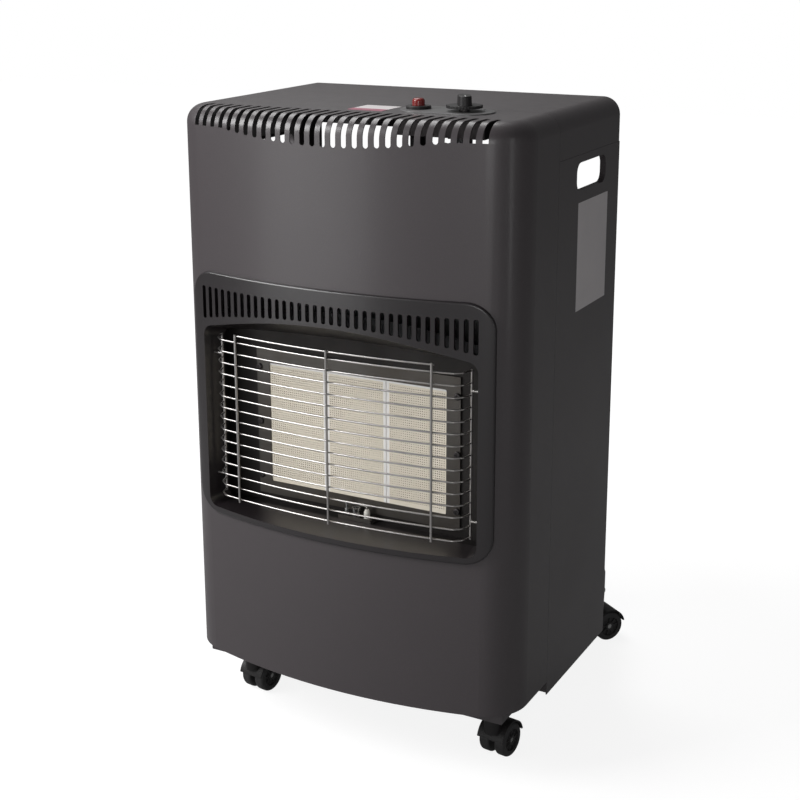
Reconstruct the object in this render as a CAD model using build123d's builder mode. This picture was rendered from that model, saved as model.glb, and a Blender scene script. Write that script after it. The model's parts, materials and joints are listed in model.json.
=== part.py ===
from build123d import *
from math import sin, cos, asin, sqrt, pi, radians
import os

os.makedirs("parts", exist_ok=True)

# ---------------------------------------------------------------- driving sizes (mm)
total_h = 735.0            # floor to the top cover
body_w = 420.0             # over the side panels
side_depth = 280.0         # front corner plane to the rear edge of the side panels
bow = 35.0                 # how far the front bulges ahead of the corner plane
corner_r = 50.0            # front corners in plan
edge_round = 20.0          # rounded top edge
sheet = 1.2                # steel sheet
front_flange = 96.0        # front panel wraps this far back along the side
seam_gap = 0.3             # visible seam between panels
front_bottom = 86.0        # lower edge of the front panel
side_bottom = 70.0         # lower edge of the side panels
skirt_bottom = total_h - 50.0      # lower edge of the top cover's skirt
corner_y = -195.33         # the front corner plane in the shared frame

# places that follow from them
hw = body_w / 2
inner_hw = hw - sheet
apex_y = corner_y - bow
seam_y = corner_y + front_flange
back_y = corner_y + side_depth
cover_front_y = seam_y + seam_gap
under_top = total_h - sheet
bow_r = (hw * hw + bow * bow) / (2 * bow)
bow_cy = apex_y + bow_r
corner_cx = hw - corner_r
corner_cy = bow_cy - sqrt((bow_r - corner_r) ** 2 - corner_cx**2)
bow_a = asin(corner_cx / (bow_r - corner_r))


def front_line(grow, back):
    """The front's outline in plan, grown outward, closed by a straight line at y = back."""
    br = bow_r + grow
    cr = corner_r + grow
    side = hw + grow
    bx = br * sin(bow_a)
    by = bow_cy - br * cos(bow_a)
    mid = (bow_a + pi / 2) / 2
    mx = corner_cx + cr * sin(mid)
    my = corner_cy - cr * cos(mid)
    ThreePointArc((-bx, by), (0, bow_cy - br), (bx, by))
    ThreePointArc((bx, by), (mx, my), (side, corner_cy))
    Polyline((side, corner_cy), (side, back), (-side, back), (-side, corner_cy))
    ThreePointArc((-side, corner_cy), (-mx, my), (-bx, by))


def at_y(y):
    """Sketch plane facing the front (local x = X, local y = Z) standing at this y."""
    return Plane.XZ.offset(-y)


def along_y(length):
    """Extrusion length that carries an at_y sketch toward the back."""
    return -length


def export(builder, name):
    builder.part.label = name
    export_step(builder.part, "parts/" + name + ".step")


# ---------------------------------------------------------------- front panel
slot_count = 29
slot_pitch = body_w / 33.87
slot_w = 6.2
slot_back_y = corner_y + 25
slot_low_mid = total_h - 31.0      # lower end of the middle slot
slot_low_end = total_h - 14.0      # lower end of the outermost slots
slot_span = slot_pitch * (slot_count - 1) / 2

bezel_w = body_w - 46.0
bezel_bottom = 265.0
bezel_top = 553.0
bezel_corner = 30.0
bezel_cover = 6.0          # the bezel's rim covers the edge of the panel's opening
bezel_h = bezel_top - bezel_bottom
bezel_mid = (bezel_top + bezel_bottom) / 2

knob_x = 114.0
knob_y = corner_y + 66
igniter_x = 60.0
igniter_y = corner_y + 66
spindle_hole = 14.0
igniter_hole = 16.6

with BuildPart() as front_inside:
    with BuildSketch(Plane.XY.offset(front_bottom - 5)):
        with BuildLine():
            front_line(-sheet, seam_y + 5)
        make_face()
    extrude(amount=under_top - front_bottom + 5)
    inside_top = front_inside.faces().sort_by(Axis.Z)[-1]
    fillet(
        [e for e in inside_top.edges() if e.center().Y < seam_y + 4],
        edge_round - sheet,
    )

with BuildPart() as front_panel:
    with BuildSketch(Plane.XY.offset(front_bottom)):
        with BuildLine():
            front_line(0, seam_y)
        make_face()
    extrude(amount=total_h - front_bottom)
    outside_top = front_panel.faces().sort_by(Axis.Z)[-1]
    fillet(
        [e for e in outside_top.edges() if e.center().Y < seam_y - 1],
        edge_round,
    )
    add(front_inside.part, mode=Mode.SUBTRACT)
    # opening behind the bezel
    with BuildSketch(at_y(apex_y - 5)):
        with Locations((0, bezel_mid)):
            RectangleRounded(
                bezel_w - 2 * bezel_cover,
                bezel_h - 2 * bezel_cover,
                bezel_corner - bezel_cover,
            )
    extrude(amount=along_y(bow + 40), mode=Mode.SUBTRACT)
    # vent slots: down the front ...
    with BuildSketch(at_y(apex_y - 5)):
        for k in range(slot_count):
            x = (k - (slot_count - 1) / 2) * slot_pitch
            low = slot_low_mid + (slot_low_end - slot_low_mid) * (x / slot_span) ** 2
            high = total_h + 20
            with Locations((x, (low + high) / 2)):
                SlotOverall(high - low, slot_w, rotation=90)
    extrude(amount=along_y(slot_back_y - slot_w / 2 - apex_y + 5), mode=Mode.SUBTRACT)
    # ... and back along the top
    with BuildSketch(Plane.XY.offset(total_h + 1)):
        for k in range(slot_count):
            x = (k - (slot_count - 1) / 2) * slot_pitch
            with Locations((x, (slot_back_y + apex_y - 20) / 2)):
                SlotOverall(slot_back_y - apex_y + 20, slot_w, rotation=90)
    extrude(amount=-(edge_round + 1), mode=Mode.SUBTRACT)
    # holes for the controls
    with Locations((knob_x, knob_y, total_h)):
        Hole(spindle_hole / 2, depth=5)
    with Locations((igniter_x, igniter_y, total_h)):
        Hole(igniter_hole / 2, depth=5)
export(front_panel, "front_panel")

# ---------------------------------------------------------------- top cover
screw_d = 4.0
screw_hole = 4.3
screw_head = 8.0
screw_head_h = 2.4
screw_shank = 6.0
screw_x = hw - 8.0
cover_screw_z = skirt_bottom + 8
tray_screw_y = (corner_y + 122, corner_y + 196, corner_y + 264)
label_t = 0.3
label_w = 91.0
label_h = 122.0
label_y = corner_y + 199.5
label_z = total_h - 164.0
tongue = 10.0              # cover's tongue under the front panel's top
knob_clear_y = knob_y + spindle_hole / 2 + 1.5

with BuildPart() as cover_inside:
    with Locations((0, cover_front_y - 5, skirt_bottom - 5)):
        Box(
            2 * inner_hw,
            back_y - sheet - cover_front_y + 5,
            under_top - skirt_bottom + 5,
            align=(Align.CENTER, Align.MIN, Align.MIN),
        )
    fillet(
        [
            e
            for e in cover_inside.edges().filter_by(Axis.Y)
            if e.center().Z > under_top - 1
        ],
        edge_round - sheet,
    )

with BuildPart() as top_cover:
    with Locations((0, cover_front_y, skirt_bottom)):
        Box(
            body_w,
            back_y - cover_front_y,
            total_h - skirt_bottom,
            align=(Align.CENTER, Align.MIN, Align.MIN),
        )
    fillet(
        [
            e
            for e in top_cover.edges().filter_by(Axis.Y)
            if e.center().Z > total_h - 1
        ],
        edge_round,
    )
    fillet(
        [
            e
            for e in top_cover.edges().filter_by(Axis.X)
            if e.center().Z > total_h - 1 and e.center().Y > back_y - 1
        ],
        2.5,
    )
    add(cover_inside.part, mode=Mode.SUBTRACT)
    with Locations((0, cover_front_y + 2, under_top)):
        Box(
            2 * (hw - edge_round) - 6,
            cover_front_y + 2 - knob_clear_y,
            sheet,
            align=(Align.CENTER, Align.MAX, Align.MAX),
        )
    with Locations(
        *[Location((x, back_y, cover_screw_z), (-90, 0, 0)) for x in (-screw_x, screw_x)]
    ):
        Hole(screw_hole / 2, depth=2)
export(top_cover, "top_cover")

# ---------------------------------------------------------------- side panels
hole_front_y = corner_y + 148
hole_back_y = corner_y + 236
hole_low = total_h - 90.0
hole_high = total_h - 59.0
lap = 15.0                 # tongues behind the front panel and the cover
tongue_low = 102.0
side_return = 22.0
foot_return = 15.0
tray_rim_h = 26.0


def side_panel(s):
    """One side panel; s is +1 for the viewer's right and -1 for the left."""
    with BuildPart() as p:
        with Locations((s * (hw - sheet / 2), (cover_front_y + back_y) / 2, 0)):
            with Locations((0, 0, (side_bottom + skirt_bottom - seam_gap) / 2)):
                Box(sheet, back_y - cover_front_y, skirt_bottom - seam_gap - side_bottom)
        # tongue behind the front panel's flange
        with Locations((s * (inner_hw - sheet / 2), seam_y + 2, tongue_low)):
            Box(
                sheet,
                lap + 2,
                skirt_bottom - 20 - tongue_low,
                align=(Align.CENTER, Align.MAX, Align.MIN),
            )
        # tongue behind the cover's skirt
        with Locations((s * (inner_hw - sheet / 2), seam_y + 6, skirt_bottom - 6)):
            Box(
                sheet,
                back_y - sheet - seam_y - 7,
                lap + 3,
                align=(Align.CENTER, Align.MIN, Align.MIN),
            )
        # rear return
        with Locations((s * hw, back_y, side_bottom + tray_rim_h + 3)):
            Box(
                side_return,
                sheet,
                skirt_bottom - seam_gap - side_bottom - tray_rim_h - 3,
                align=(Align.MAX if s > 0 else Align.MIN, Align.MAX, Align.MIN),
            )
        # foot return under the tray
        with Locations((s * hw, cover_front_y + 4, side_bottom)):
            Box(
                foot_return,
                back_y - cover_front_y - 10,
                sheet,
                align=(Align.MAX if s > 0 else Align.MIN, Align.MIN, Align.MIN),
            )
        # tongue behind the cover's rear skirt
        with Locations((s * (inner_hw - 2), back_y - sheet, skirt_bottom - 10)):
            Box(
                side_return - 6,
                sheet,
                lap + 12,
                align=(Align.MAX if s > 0 else Align.MIN, Align.MAX, Align.MIN),
            )
        # handle hole with a rolled lip
        hole_y = (hole_front_y + hole_back_y) / 2
        hole_z = (hole_low + hole_high) / 2
        hole_w = hole_back_y - hole_front_y
        hole_h = hole_high - hole_low
        lip_depth = 7.0
        with BuildSketch(Plane.YZ.offset(s * (hw - lip_depth / 2))):
            with Locations((hole_y, hole_z)):
                RectangleRounded(hole_w + 2 * sheet, hole_h + 2 * sheet, 11 + sheet)
        extrude(amount=lip_depth / 2, both=True)
        with BuildSketch(Plane.YZ.offset(s * hw)):
            with Locations((hole_y, hole_z)):
                RectangleRounded(hole_w, hole_h, 11)
        extrude(amount=30, both=True, mode=Mode.SUBTRACT)
        # screw holes: cover at the back, tray from below
        with Locations(
            Location((s * screw_x, back_y, cover_screw_z), (-90, 0, 0)),
            *[Location((s * screw_x, y, side_bottom), (180, 0, 0)) for y in tray_screw_y],
        ):
            Hole(screw_hole / 2, depth=3)
    return p


side_left = side_panel(-1)
side_right = side_panel(1)
with side_right:
    # shallow pocket for the label
    with Locations((hw, label_y, label_z)):
        Box(
            label_t,
            label_w,
            label_h,
            align=(Align.MAX, Align.CENTER, Align.CENTER),
            mode=Mode.SUBTRACT,
        )
export(side_right, "side_panel_right")
export(side_left, "side_panel_left")

# ---------------------------------------------------------------- base tray
tray_z = side_bottom + sheet
tray_top = tray_z + sheet
tray_front_y = corner_y + 8
tray_front_hw = hw - 17.0      # narrower ahead of the side panels, hidden by the front panel
tray_back_y = back_y + 132
tray_tail_hw = hw - 45.0
seat_r = 125.0
seat_y = corner_y + 250
seat_t = 1.0
caster_front_x = hw - 47.0
caster_back_x = hw - 52.0
caster_front_y = corner_y + 52
caster_back_y = tray_back_y - 24
socket_hole = 15.0

with BuildPart() as base_tray:
    with BuildSketch(Plane.XY.offset(tray_z)):
        with BuildLine():
            Polyline(
                (-tray_front_hw, tray_front_y),
                (tray_front_hw, tray_front_y),
                (tray_front_hw, seam_y + 3),
                (inner_hw, seam_y + 3),
                (inner_hw, back_y + 1),
                (tray_tail_hw, tray_back_y),
                (-tray_tail_hw, tray_back_y),
                (-inner_hw, back_y + 1),
                (-inner_hw, seam_y + 3),
                (-tray_front_hw, seam_y + 3),
                close=True,
            )
        make_face()
    extrude(amount=tray_rim_h)
    fillet(
        [
            e
            for e in base_tray.edges().filter_by(Axis.Z)
            if e.center().Y > tray_back_y - 1
        ],
        32,
    )
    offset(amount=-sheet, openings=base_tray.faces().sort_by(Axis.Z)[-1])
    with Locations(
        *[
            (sx * cx, cy, tray_top)
            for sx in (-1, 1)
            for cx, cy in ((caster_front_x, caster_front_y), (caster_back_x, caster_back_y))
        ]
    ):
        Hole(socket_hole / 2, depth=5)
    with Locations(
        *[(sx * screw_x, y, tray_top) for sx in (-1, 1) for y in tray_screw_y]
    ):
        Hole(screw_hole / 2, depth=5)
    # raised seat for the bottle's foot
    with Locations((0, seat_y, tray_top)):
        Cylinder(seat_r, seat_t, align=(Align.CENTER, Align.CENTER, Align.MIN))
export(base_tray, "base_tray")

with BuildPart() as rating_label:
    with Locations((hw, label_y, label_z)):
        Box(label_t, label_w, label_h, align=(Align.MAX, Align.CENTER, Align.CENTER))
export(rating_label, "rating_label")

with BuildPart() as top_label:
    with Locations((10, corner_y + 60, total_h)):
        Box(42, 44, label_t, align=(Align.CENTER, Align.CENTER, Align.MIN))
export(top_label, "top_label")


# ---------------------------------------------------------------- burner bezel and guard
wire_d = 2.0
upright_d = 2.7
guard_bow_r = bezel_w / 0.425
guard_y = corner_y - 32.7      # front of the guard at the middle
guard_rod_x = bezel_w / 2 - 30.0
guard_rod_y = corner_y - 1.0
guard_low = 290.4
guard_wires = 15
guard_pitch = 13.3
guard_short_z = guard_low + 194.0
guard_upright_x = guard_rod_x - 34.7
guard_short_hw = guard_upright_x + 2


def guard_bow_y(x):
    """Where the bowed wires stand at this x."""
    return guard_y + guard_bow_r - sqrt(guard_bow_r**2 - x * x)


guard_end_y = guard_bow_y(guard_upright_x)
guard_bend_x = guard_rod_x - 12.0
guard_tilt = 0.1556            # slope of the straight ends that the bow joins
guard_vertex_y = guard_y - guard_bow_r * (sqrt(1 + guard_tilt**2) - 1)
guard_bend_y = guard_vertex_y + guard_bend_x * guard_tilt
rod_low = guard_low - 2.2
rod_high = guard_low + guard_pitch * (guard_wires - 1) + 1.3
hook_z = (guard_low + 18.0, guard_low + 164.0)
hook_out = guard_rod_x + 14.0

bezel_proud = 3.6          # rim stands this far ahead of the front panel
bezel_back_y = corner_y + 14
plug_w = bezel_w - 2 * bezel_cover - 1.0
plug_h = bezel_h - 2 * bezel_cover - 1.0
louvre_count = 35
louvre_pitch = bezel_w / 37.78
louvre_w = 5.2
louvre_top = bezel_top - 17.0
louvre_low_mid = bezel_top - 37.0      # the band's lower edge is an arch
louvre_low_end = bezel_top - 55.0
louvre_span = louvre_pitch * (louvre_count - 1) / 2
recess_gap = 3.0           # band of solid face between louvres and recess
recess_hw = bezel_w / 2 - 10.0         # recess at the face
recess_bottom = bezel_bottom + 7.5
recess_end_top = louvre_low_end - recess_gap
recess_mid_top = louvre_low_mid - recess_gap
opening_hw = bezel_w / 2 - 23.0        # opening at the back of the bezel
opening_bottom = bezel_bottom + 9.0
opening_top = bezel_top - 67.0
skin = 2.6


def arch_outline(half, bottom, end_top, mid_top):
    """Opening whose upper edge is a shallow arch."""
    Polyline((-half, end_top), (-half, bottom), (half, bottom), (half, end_top))
    ThreePointArc((half, end_top), (0, mid_top), (-half, end_top))


with BuildPart() as bezel_plan:
    with BuildSketch(Plane.XY.offset(bezel_bottom)):
        with BuildLine():
            front_line(bezel_proud, seam_y)
        make_face()
    extrude(amount=bezel_h)

with BuildPart() as bezel_body:
    with BuildSketch(at_y(apex_y - 10)):
        with Locations((0, bezel_mid)):
            RectangleRounded(plug_w, plug_h, bezel_corner - bezel_cover - 0.5)
    extrude(amount=along_y(bezel_back_y - apex_y + 10))
    add(bezel_plan.part, mode=Mode.INTERSECT)

with BuildPart() as behind_face:
    with BuildSketch(Plane.XY.offset(bezel_bottom - 1)):
        with BuildLine():
            front_line(0.3, seam_y + 10)
        make_face()
    extrude(amount=bezel_h + 2)

with BuildPart() as hollow_plan:
    with BuildSketch(Plane.XY.offset(bezel_bottom)):
        with BuildLine():
            front_line(bezel_proud - skin, seam_y)
        make_face()
    extrude(amount=bezel_h)

hollow_hw = louvre_span + 5
hollow_wall = 1.5
with BuildPart() as louvre_hollow:
    with BuildSketch(at_y(apex_y - 10)):
        with BuildLine():
            Polyline(
                (-hollow_hw, louvre_low_end - hollow_wall),
                (-hollow_hw, louvre_top + hollow_wall),
                (hollow_hw, louvre_top + hollow_wall),
                (hollow_hw, louvre_low_end - hollow_wall),
            )
            ThreePointArc(
                (hollow_hw, louvre_low_end - hollow_wall),
                (0, louvre_low_mid - hollow_wall),
                (-hollow_hw, louvre_low_end - hollow_wall),
            )
        make_face()
    extrude(amount=along_y(200))
    add(hollow_plan.part, mode=Mode.INTERSECT)

with BuildPart() as burner_bezel:
    with BuildSketch(at_y(apex_y - 10)):
        with Locations((0, bezel_mid)):
            RectangleRounded(bezel_w, bezel_h, bezel_corner)
    extrude(amount=along_y(bow + 60))
    add(bezel_plan.part, mode=Mode.INTERSECT)
    # soft rim round the face
    face_edges = [
        e
        for e in burner_bezel.edges()
        if max(v.Y for v in e.vertices()) < corner_y + 12
        and e.bounding_box().size.Y < bow + 20
    ]
    fillet(face_edges, 2.4)
    add(behind_face.part, mode=Mode.SUBTRACT)
    add(bezel_body.part)
    # recess narrowing to the opening
    with BuildSketch(at_y(apex_y - 6)) as mouth:
        with BuildLine():
            arch_outline(recess_hw, recess_bottom, recess_end_top, recess_mid_top)
        make_face()
        fillet(mouth.vertices(), 14)
    with BuildSketch(at_y(bezel_back_y + 0.01)) as throat:
        with BuildLine():
            arch_outline(opening_hw, opening_bottom, opening_top - 6, opening_top)
        make_face()
        fillet(throat.vertices(), 10)
    loft(mode=Mode.SUBTRACT)
    # hollow behind the louvres
    add(louvre_hollow.part, mode=Mode.SUBTRACT)
    # louvres
    with BuildSketch(at_y(apex_y - 10)):
        for k in range(louvre_count):
            x = (k - (louvre_count - 1) / 2) * louvre_pitch
            low = louvre_low_mid + (louvre_low_end - louvre_low_mid) * (x / louvre_span) ** 2
            with Locations((x, (louvre_top + low) / 2)):
                SlotOverall(louvre_top - low, louvre_w, rotation=90)
    extrude(amount=along_y(bow + 20), mode=Mode.SUBTRACT)
    # holes that take the guard's hooks
    for side in (-1, 1):
        for z in hook_z:
            with Locations(
                Location((side * (hook_out + 1) / 2, guard_rod_y, z), (0, 90, 0))
            ):
                Cylinder(upright_d / 2 + 0.1, hook_out + 1, mode=Mode.SUBTRACT)
export(burner_bezel, "burner_bezel")

# ---------------------------------------------------------------- wire guard
overlap = 0.35             # welded wires sink into each other this much
front_reach = wire_d / 2 + upright_d / 2 - overlap

with BuildPart() as guard_wire:
    with BuildLine() as wire_path:
        FilletPolyline(
            (-guard_rod_x, guard_rod_y),
            (-guard_rod_x + 3.5, guard_rod_y - 12.5),
            (-guard_bend_x, guard_bend_y),
            (0, guard_vertex_y),
            (guard_bend_x, guard_bend_y),
            (guard_rod_x - 3.5, guard_rod_y - 12.5),
            (guard_rod_x, guard_rod_y),
            radius=[6, 9, guard_bow_r, 9, 6],
        )
    with BuildSketch(Plane(wire_path.wires()[0] @ 0, z_dir=wire_path.wires()[0] % 0)):
        Circle(wire_d / 2)
    sweep(path=wire_path.wires()[0])

with BuildPart() as wire_guard:
    for k in range(guard_wires):
        with Locations((0, 0, guard_low + k * guard_pitch)):
            add(guard_wire.part)
    # short top wire between the outer uprights
    with BuildLine(Plane.XY.offset(guard_short_z)) as short_path:
        ThreePointArc(
            (-guard_short_hw, guard_end_y),
            (0, guard_y),
            (guard_short_hw, guard_end_y),
        )
    with BuildSketch(Plane(short_path.wires()[0] @ 0, z_dir=short_path.wires()[0] % 0)):
        Circle(wire_d / 2)
    sweep(path=short_path.wires()[0])
    # uprights in front
    for x, y in (
        (-guard_upright_x, guard_end_y),
        (0, guard_y),
        (guard_upright_x, guard_end_y),
    ):
        with Locations((x, y - front_reach, guard_low - 3)):
            Cylinder(
                upright_d / 2,
                guard_short_z - guard_low + 5,
                align=(Align.CENTER, Align.CENTER, Align.MIN),
            )
    # rods at the sides with hooks into the bezel
    for s in (-1, 1):
        with Locations((s * guard_rod_x, guard_rod_y, rod_low)):
            Cylinder(
                upright_d / 2,
                rod_high - rod_low,
                align=(Align.CENTER, Align.CENTER, Align.MIN),
            )
        for z in hook_z:
            with Locations(
                Location((s * (guard_rod_x + hook_out) / 2, guard_rod_y, z), (0, 90, 0))
            ):
                Cylinder(upright_d / 2, hook_out - guard_rod_x)
export(wire_guard, "wire_guard")

# ---------------------------------------------------------------- divider and burner
divider_y = corner_y + 104
divider_top = total_h - 135.0
divider_hw = inner_hw - sheet
divider_flange = 13.0

with BuildPart() as divider_panel:
    with Locations((0, divider_y, tray_top)):
        Box(
            2 * divider_hw,
            sheet,
            divider_top - tray_top,
            align=(Align.CENTER, Align.MIN, Align.MIN),
        )
        Box(
            2 * divider_hw,
            divider_flange,
            sheet,
            align=(Align.CENTER, Align.MIN, Align.MIN),
        )
    for s in (-1, 1):
        with Locations((s * inner_hw, divider_y, side_bottom + tray_rim_h + 4)):
            Box(
                2 * sheet,
                divider_flange,
                divider_top - side_bottom - tray_rim_h - 4,
                align=(Align.MAX if s > 0 else Align.MIN, Align.MIN, Align.MIN),
            )
    with Locations((0, divider_y, divider_top - sheet)):
        Box(
            2 * divider_hw,
            divider_flange,
            sheet,
            align=(Align.CENTER, Align.MIN, Align.MIN),
        )
export(divider_panel, "divider_panel")

# burner: three plaques side by side in a plenum
plaque_w = 76.5
plaque_h = 148.0
plaque_t = 13.0
plaque_pitch = plaque_w + 0.5
plaque_z = 369.0
plaque_y = corner_y + 30
plenum_hw = plaque_pitch + plaque_w / 2 + 6.75
plenum_hh = plaque_h / 2 + 6.0
plenum_back_y = corner_y + 92
lip = 8.0
frame_hw = plenum_hw + lip
frame_hh = plenum_hh + lip
house_y = plaque_y + sheet
house_hw = bezel_w / 2 - 15.0
house_bottom = bezel_bottom + 5.5
house_top = opening_top + 5.0
tube_y = corner_y + 70
tube_r = 10.0
rail_z = 229.0
rail_t = 1.5
burner_screw_x = plenum_hw + 4.6
burner_screw_z = (plaque_z - plaque_h / 2 + 8, plaque_z, plaque_z + plaque_h / 2 - 8)
burner_screw_places = [(sx * burner_screw_x, z) for sx in (-1, 1) for z in burner_screw_z]
pilot_y = corner_y + 21
pilot_x = 4.0
couple_x = -8.0
spark_x = 18.0

with BuildPart() as burner_housing:
    with Locations((0, bezel_back_y, house_bottom)):
        Box(
            2 * house_hw,
            house_y + sheet - bezel_back_y,
            house_top - house_bottom,
            align=(Align.CENTER, Align.MIN, Align.MIN),
        )
    with Locations((0, bezel_back_y - 1, house_bottom + sheet)):
        Box(
            2 * (house_hw - sheet),
            house_y - bezel_back_y + 1,
            house_top - house_bottom - 2 * sheet,
            align=(Align.CENTER, Align.MIN, Align.MIN),
            mode=Mode.SUBTRACT,
        )
    # opening for the plenum
    with BuildSketch(at_y(house_y - 1)):
        with Locations((0, plaque_z)):
            Rectangle(2 * plenum_hw + 3, 2 * plenum_hh + 3)
        with Locations(*burner_screw_places):
            Circle(screw_hole / 2)
    extrude(amount=along_y(4), mode=Mode.SUBTRACT)
    # warm air leaves through the top
    with BuildSketch(Plane.XY.offset(house_top + 1)):
        with GridLocations(38, 0, 8, 1):
            with Locations((0, (bezel_back_y + house_y) / 2)):
                SlotOverall(30, 9)
    extrude(amount=-4, mode=Mode.SUBTRACT)
    # pilot parts stand through the floor
    for x, r in ((pilot_x, 4.2), (couple_x, 2.9), (spark_x, 3.7)):
        with Locations((x, pilot_y, house_bottom + sheet)):
            Hole(r, depth=4)
export(burner_housing, "burner_housing")

with BuildPart() as burner_plenum:
    with Locations((0, plaque_y, plaque_z)):
        Box(
            2 * plenum_hw,
            plenum_back_y - plaque_y,
            2 * plenum_hh,
            align=(Align.CENTER, Align.MIN, Align.CENTER),
        )
        Box(
            2 * frame_hw,
            sheet,
            2 * frame_hh,
            align=(Align.CENTER, Align.MIN, Align.CENTER),
        )
    with Locations((0, plaque_y - 1, plaque_z)):
        Box(
            2 * (plenum_hw - sheet),
            plenum_back_y - sheet - plaque_y + 1,
            2 * (plenum_hh - sheet),
            align=(Align.CENTER, Align.MIN, Align.CENTER),
            mode=Mode.SUBTRACT,
        )
    # ledge the plaques rest on
    with BuildSketch(at_y(plaque_y + plaque_t)):
        with Locations((0, plaque_z)):
            Rectangle(2 * plenum_hw - sheet, 2 * plenum_hh - sheet)
            Rectangle(2 * plenum_hw - 22, 2 * plenum_hh - 22, mode=Mode.SUBTRACT)
    extrude(amount=along_y(sheet))
    with BuildSketch(at_y(plaque_y - 1)):
        with Locations(*burner_screw_places):
            Circle(screw_hole / 2)
    extrude(amount=along_y(4), mode=Mode.SUBTRACT)
    with Locations(
        *[
            Location((k * plaque_pitch, tube_y, plaque_z - plenum_hh), (180, 0, 0))
            for k in (-1, 0, 1)
        ]
    ):
        Hole(tube_r - 1, depth=3)
export(burner_plenum, "burner_plenum")

for k, side in ((-1, "left"), (0, "centre"), (1, "right")):
    with BuildPart() as plaque:
        with Locations((k * plaque_pitch, plaque_y, plaque_z)):
            Box(
                plaque_w,
                plaque_t,
                plaque_h,
                align=(Align.CENTER, Align.MIN, Align.CENTER),
            )
        chamfer(plaque.faces().sort_by(Axis.Y)[0].edges(), 0.6)
    export(plaque, "plaque_" + side)

with BuildPart() as plaque_gasket:
    with BuildSketch(at_y(plaque_y)):
        with Locations((0, plaque_z)):
            Rectangle(2 * (plenum_hw - sheet), 2 * (plenum_hh - sheet))
            Rectangle(
                2 * plaque_pitch + plaque_w,
                plaque_h,
                mode=Mode.SUBTRACT,
            )
    extrude(amount=along_y(plaque_t))
export(plaque_gasket, "plaque_gasket")

with BuildPart() as plaque_frame:
    with BuildSketch(at_y(plaque_y)):
        with Locations((0, plaque_z)):
            Rectangle(2 * frame_hw, 2 * frame_hh)
            RectangleRounded(
                2 * plaque_pitch + plaque_w - 4,
                plaque_h - 4,
                2,
                mode=Mode.SUBTRACT,
            )
        with Locations(*burner_screw_places):
            Circle(screw_hole / 2, mode=Mode.SUBTRACT)
    extrude(amount=sheet)
export(plaque_frame, "plaque_frame")

# brackets that carry the burner housing on the divider
bracket_x = house_hw - 22
with BuildPart() as burner_brackets:
    for sx in (-1, 1):
        for z in (plaque_z - 55, plaque_z + 60):
            with Locations((sx * bracket_x, house_y + sheet, z)):
                Box(
                    sheet,
                    divider_y - house_y - sheet,
                    22,
                    align=(Align.CENTER, Align.MIN, Align.CENTER),
                )
            for y, al in ((house_y + sheet, Align.MIN), (divider_y, Align.MAX)):
                with Locations((sx * (bracket_x - sheet / 2), y, z)):
                    Box(
                        12,
                        sheet,
                        22,
                        align=(Align.MIN if sx > 0 else Align.MAX, al, Align.CENTER),
                    )
export(burner_brackets, "burner_brackets")

# mixing tubes on a rail, one gas injector under each
with BuildPart() as mixing_tubes:
    for k in (-1, 0, 1):
        tube_h = plaque_z - plenum_hh - rail_z - rail_t
        with Locations((k * plaque_pitch, tube_y, rail_z + rail_t)):
            Cylinder(tube_r, tube_h, align=(Align.CENTER, Align.CENTER, Align.MIN))
            Cylinder(tube_r + 4, sheet, align=(Align.CENTER, Align.CENTER, Align.MIN))
        with Locations((k * plaque_pitch, tube_y, plaque_z - plenum_hh)):
            Cylinder(tube_r + 4, sheet, align=(Align.CENTER, Align.CENTER, Align.MAX))
        with Locations((k * plaque_pitch, tube_y, rail_z + rail_t)):
            Cylinder(
                tube_r - 1,
                tube_h,
                align=(Align.CENTER, Align.CENTER, Align.MIN),
                mode=Mode.SUBTRACT,
            )
        with Locations(
            Location((k * plaque_pitch, tube_y, rail_z + rail_t + 13), (0, 90, 0))
        ):
            Cylinder(4.5, 3 * tube_r, mode=Mode.SUBTRACT)
export(mixing_tubes, "mixing_tubes")

injector_thread = 4.0
with BuildPart() as injector_rail:
    with Locations((0, divider_y, rail_z)):
        Box(
            2 * plaque_pitch + 50,
            divider_y - tube_y + 18,
            rail_t,
            align=(Align.CENTER, Align.MAX, Align.MIN),
        )
        Box(
            2 * plaque_pitch + 50,
            rail_t,
            24,
            align=(Align.CENTER, Align.MAX, Align.MAX),
        )
    with Locations(*[(k * plaque_pitch, tube_y, rail_z + rail_t) for k in (-1, 0, 1)]):
        Hole(injector_thread + 0.1, depth=4)
export(injector_rail, "injector_rail")

pipe_d = 6.0
pipe_play = 0.1
nut_h = 8.0
nut_r = 6.4
injector_low = rail_z - 14
with BuildPart() as gas_injectors:
    for k in (-1, 0, 1):
        with BuildSketch(Plane.XY.offset(injector_low)):
            with Locations((k * plaque_pitch, tube_y)):
                RegularPolygon(7.5, 6)
        extrude(amount=rail_z - injector_low)
        with Locations((k * plaque_pitch, tube_y, rail_z)):
            Cylinder(
                injector_thread, 8, align=(Align.CENTER, Align.CENTER, Align.MIN)
            )
        with Locations((k * plaque_pitch, tube_y, rail_z + 8)):
            Cone(
                injector_thread, 1.8, 4, align=(Align.CENTER, Align.CENTER, Align.MIN)
            )
        with Locations(Location((k * plaque_pitch, tube_y, injector_low), (180, 0, 0))):
            Hole(pipe_d / 2 + pipe_play, depth=7)
            Hole(0.8, depth=30)
export(gas_injectors, "gas_injectors")

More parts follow.
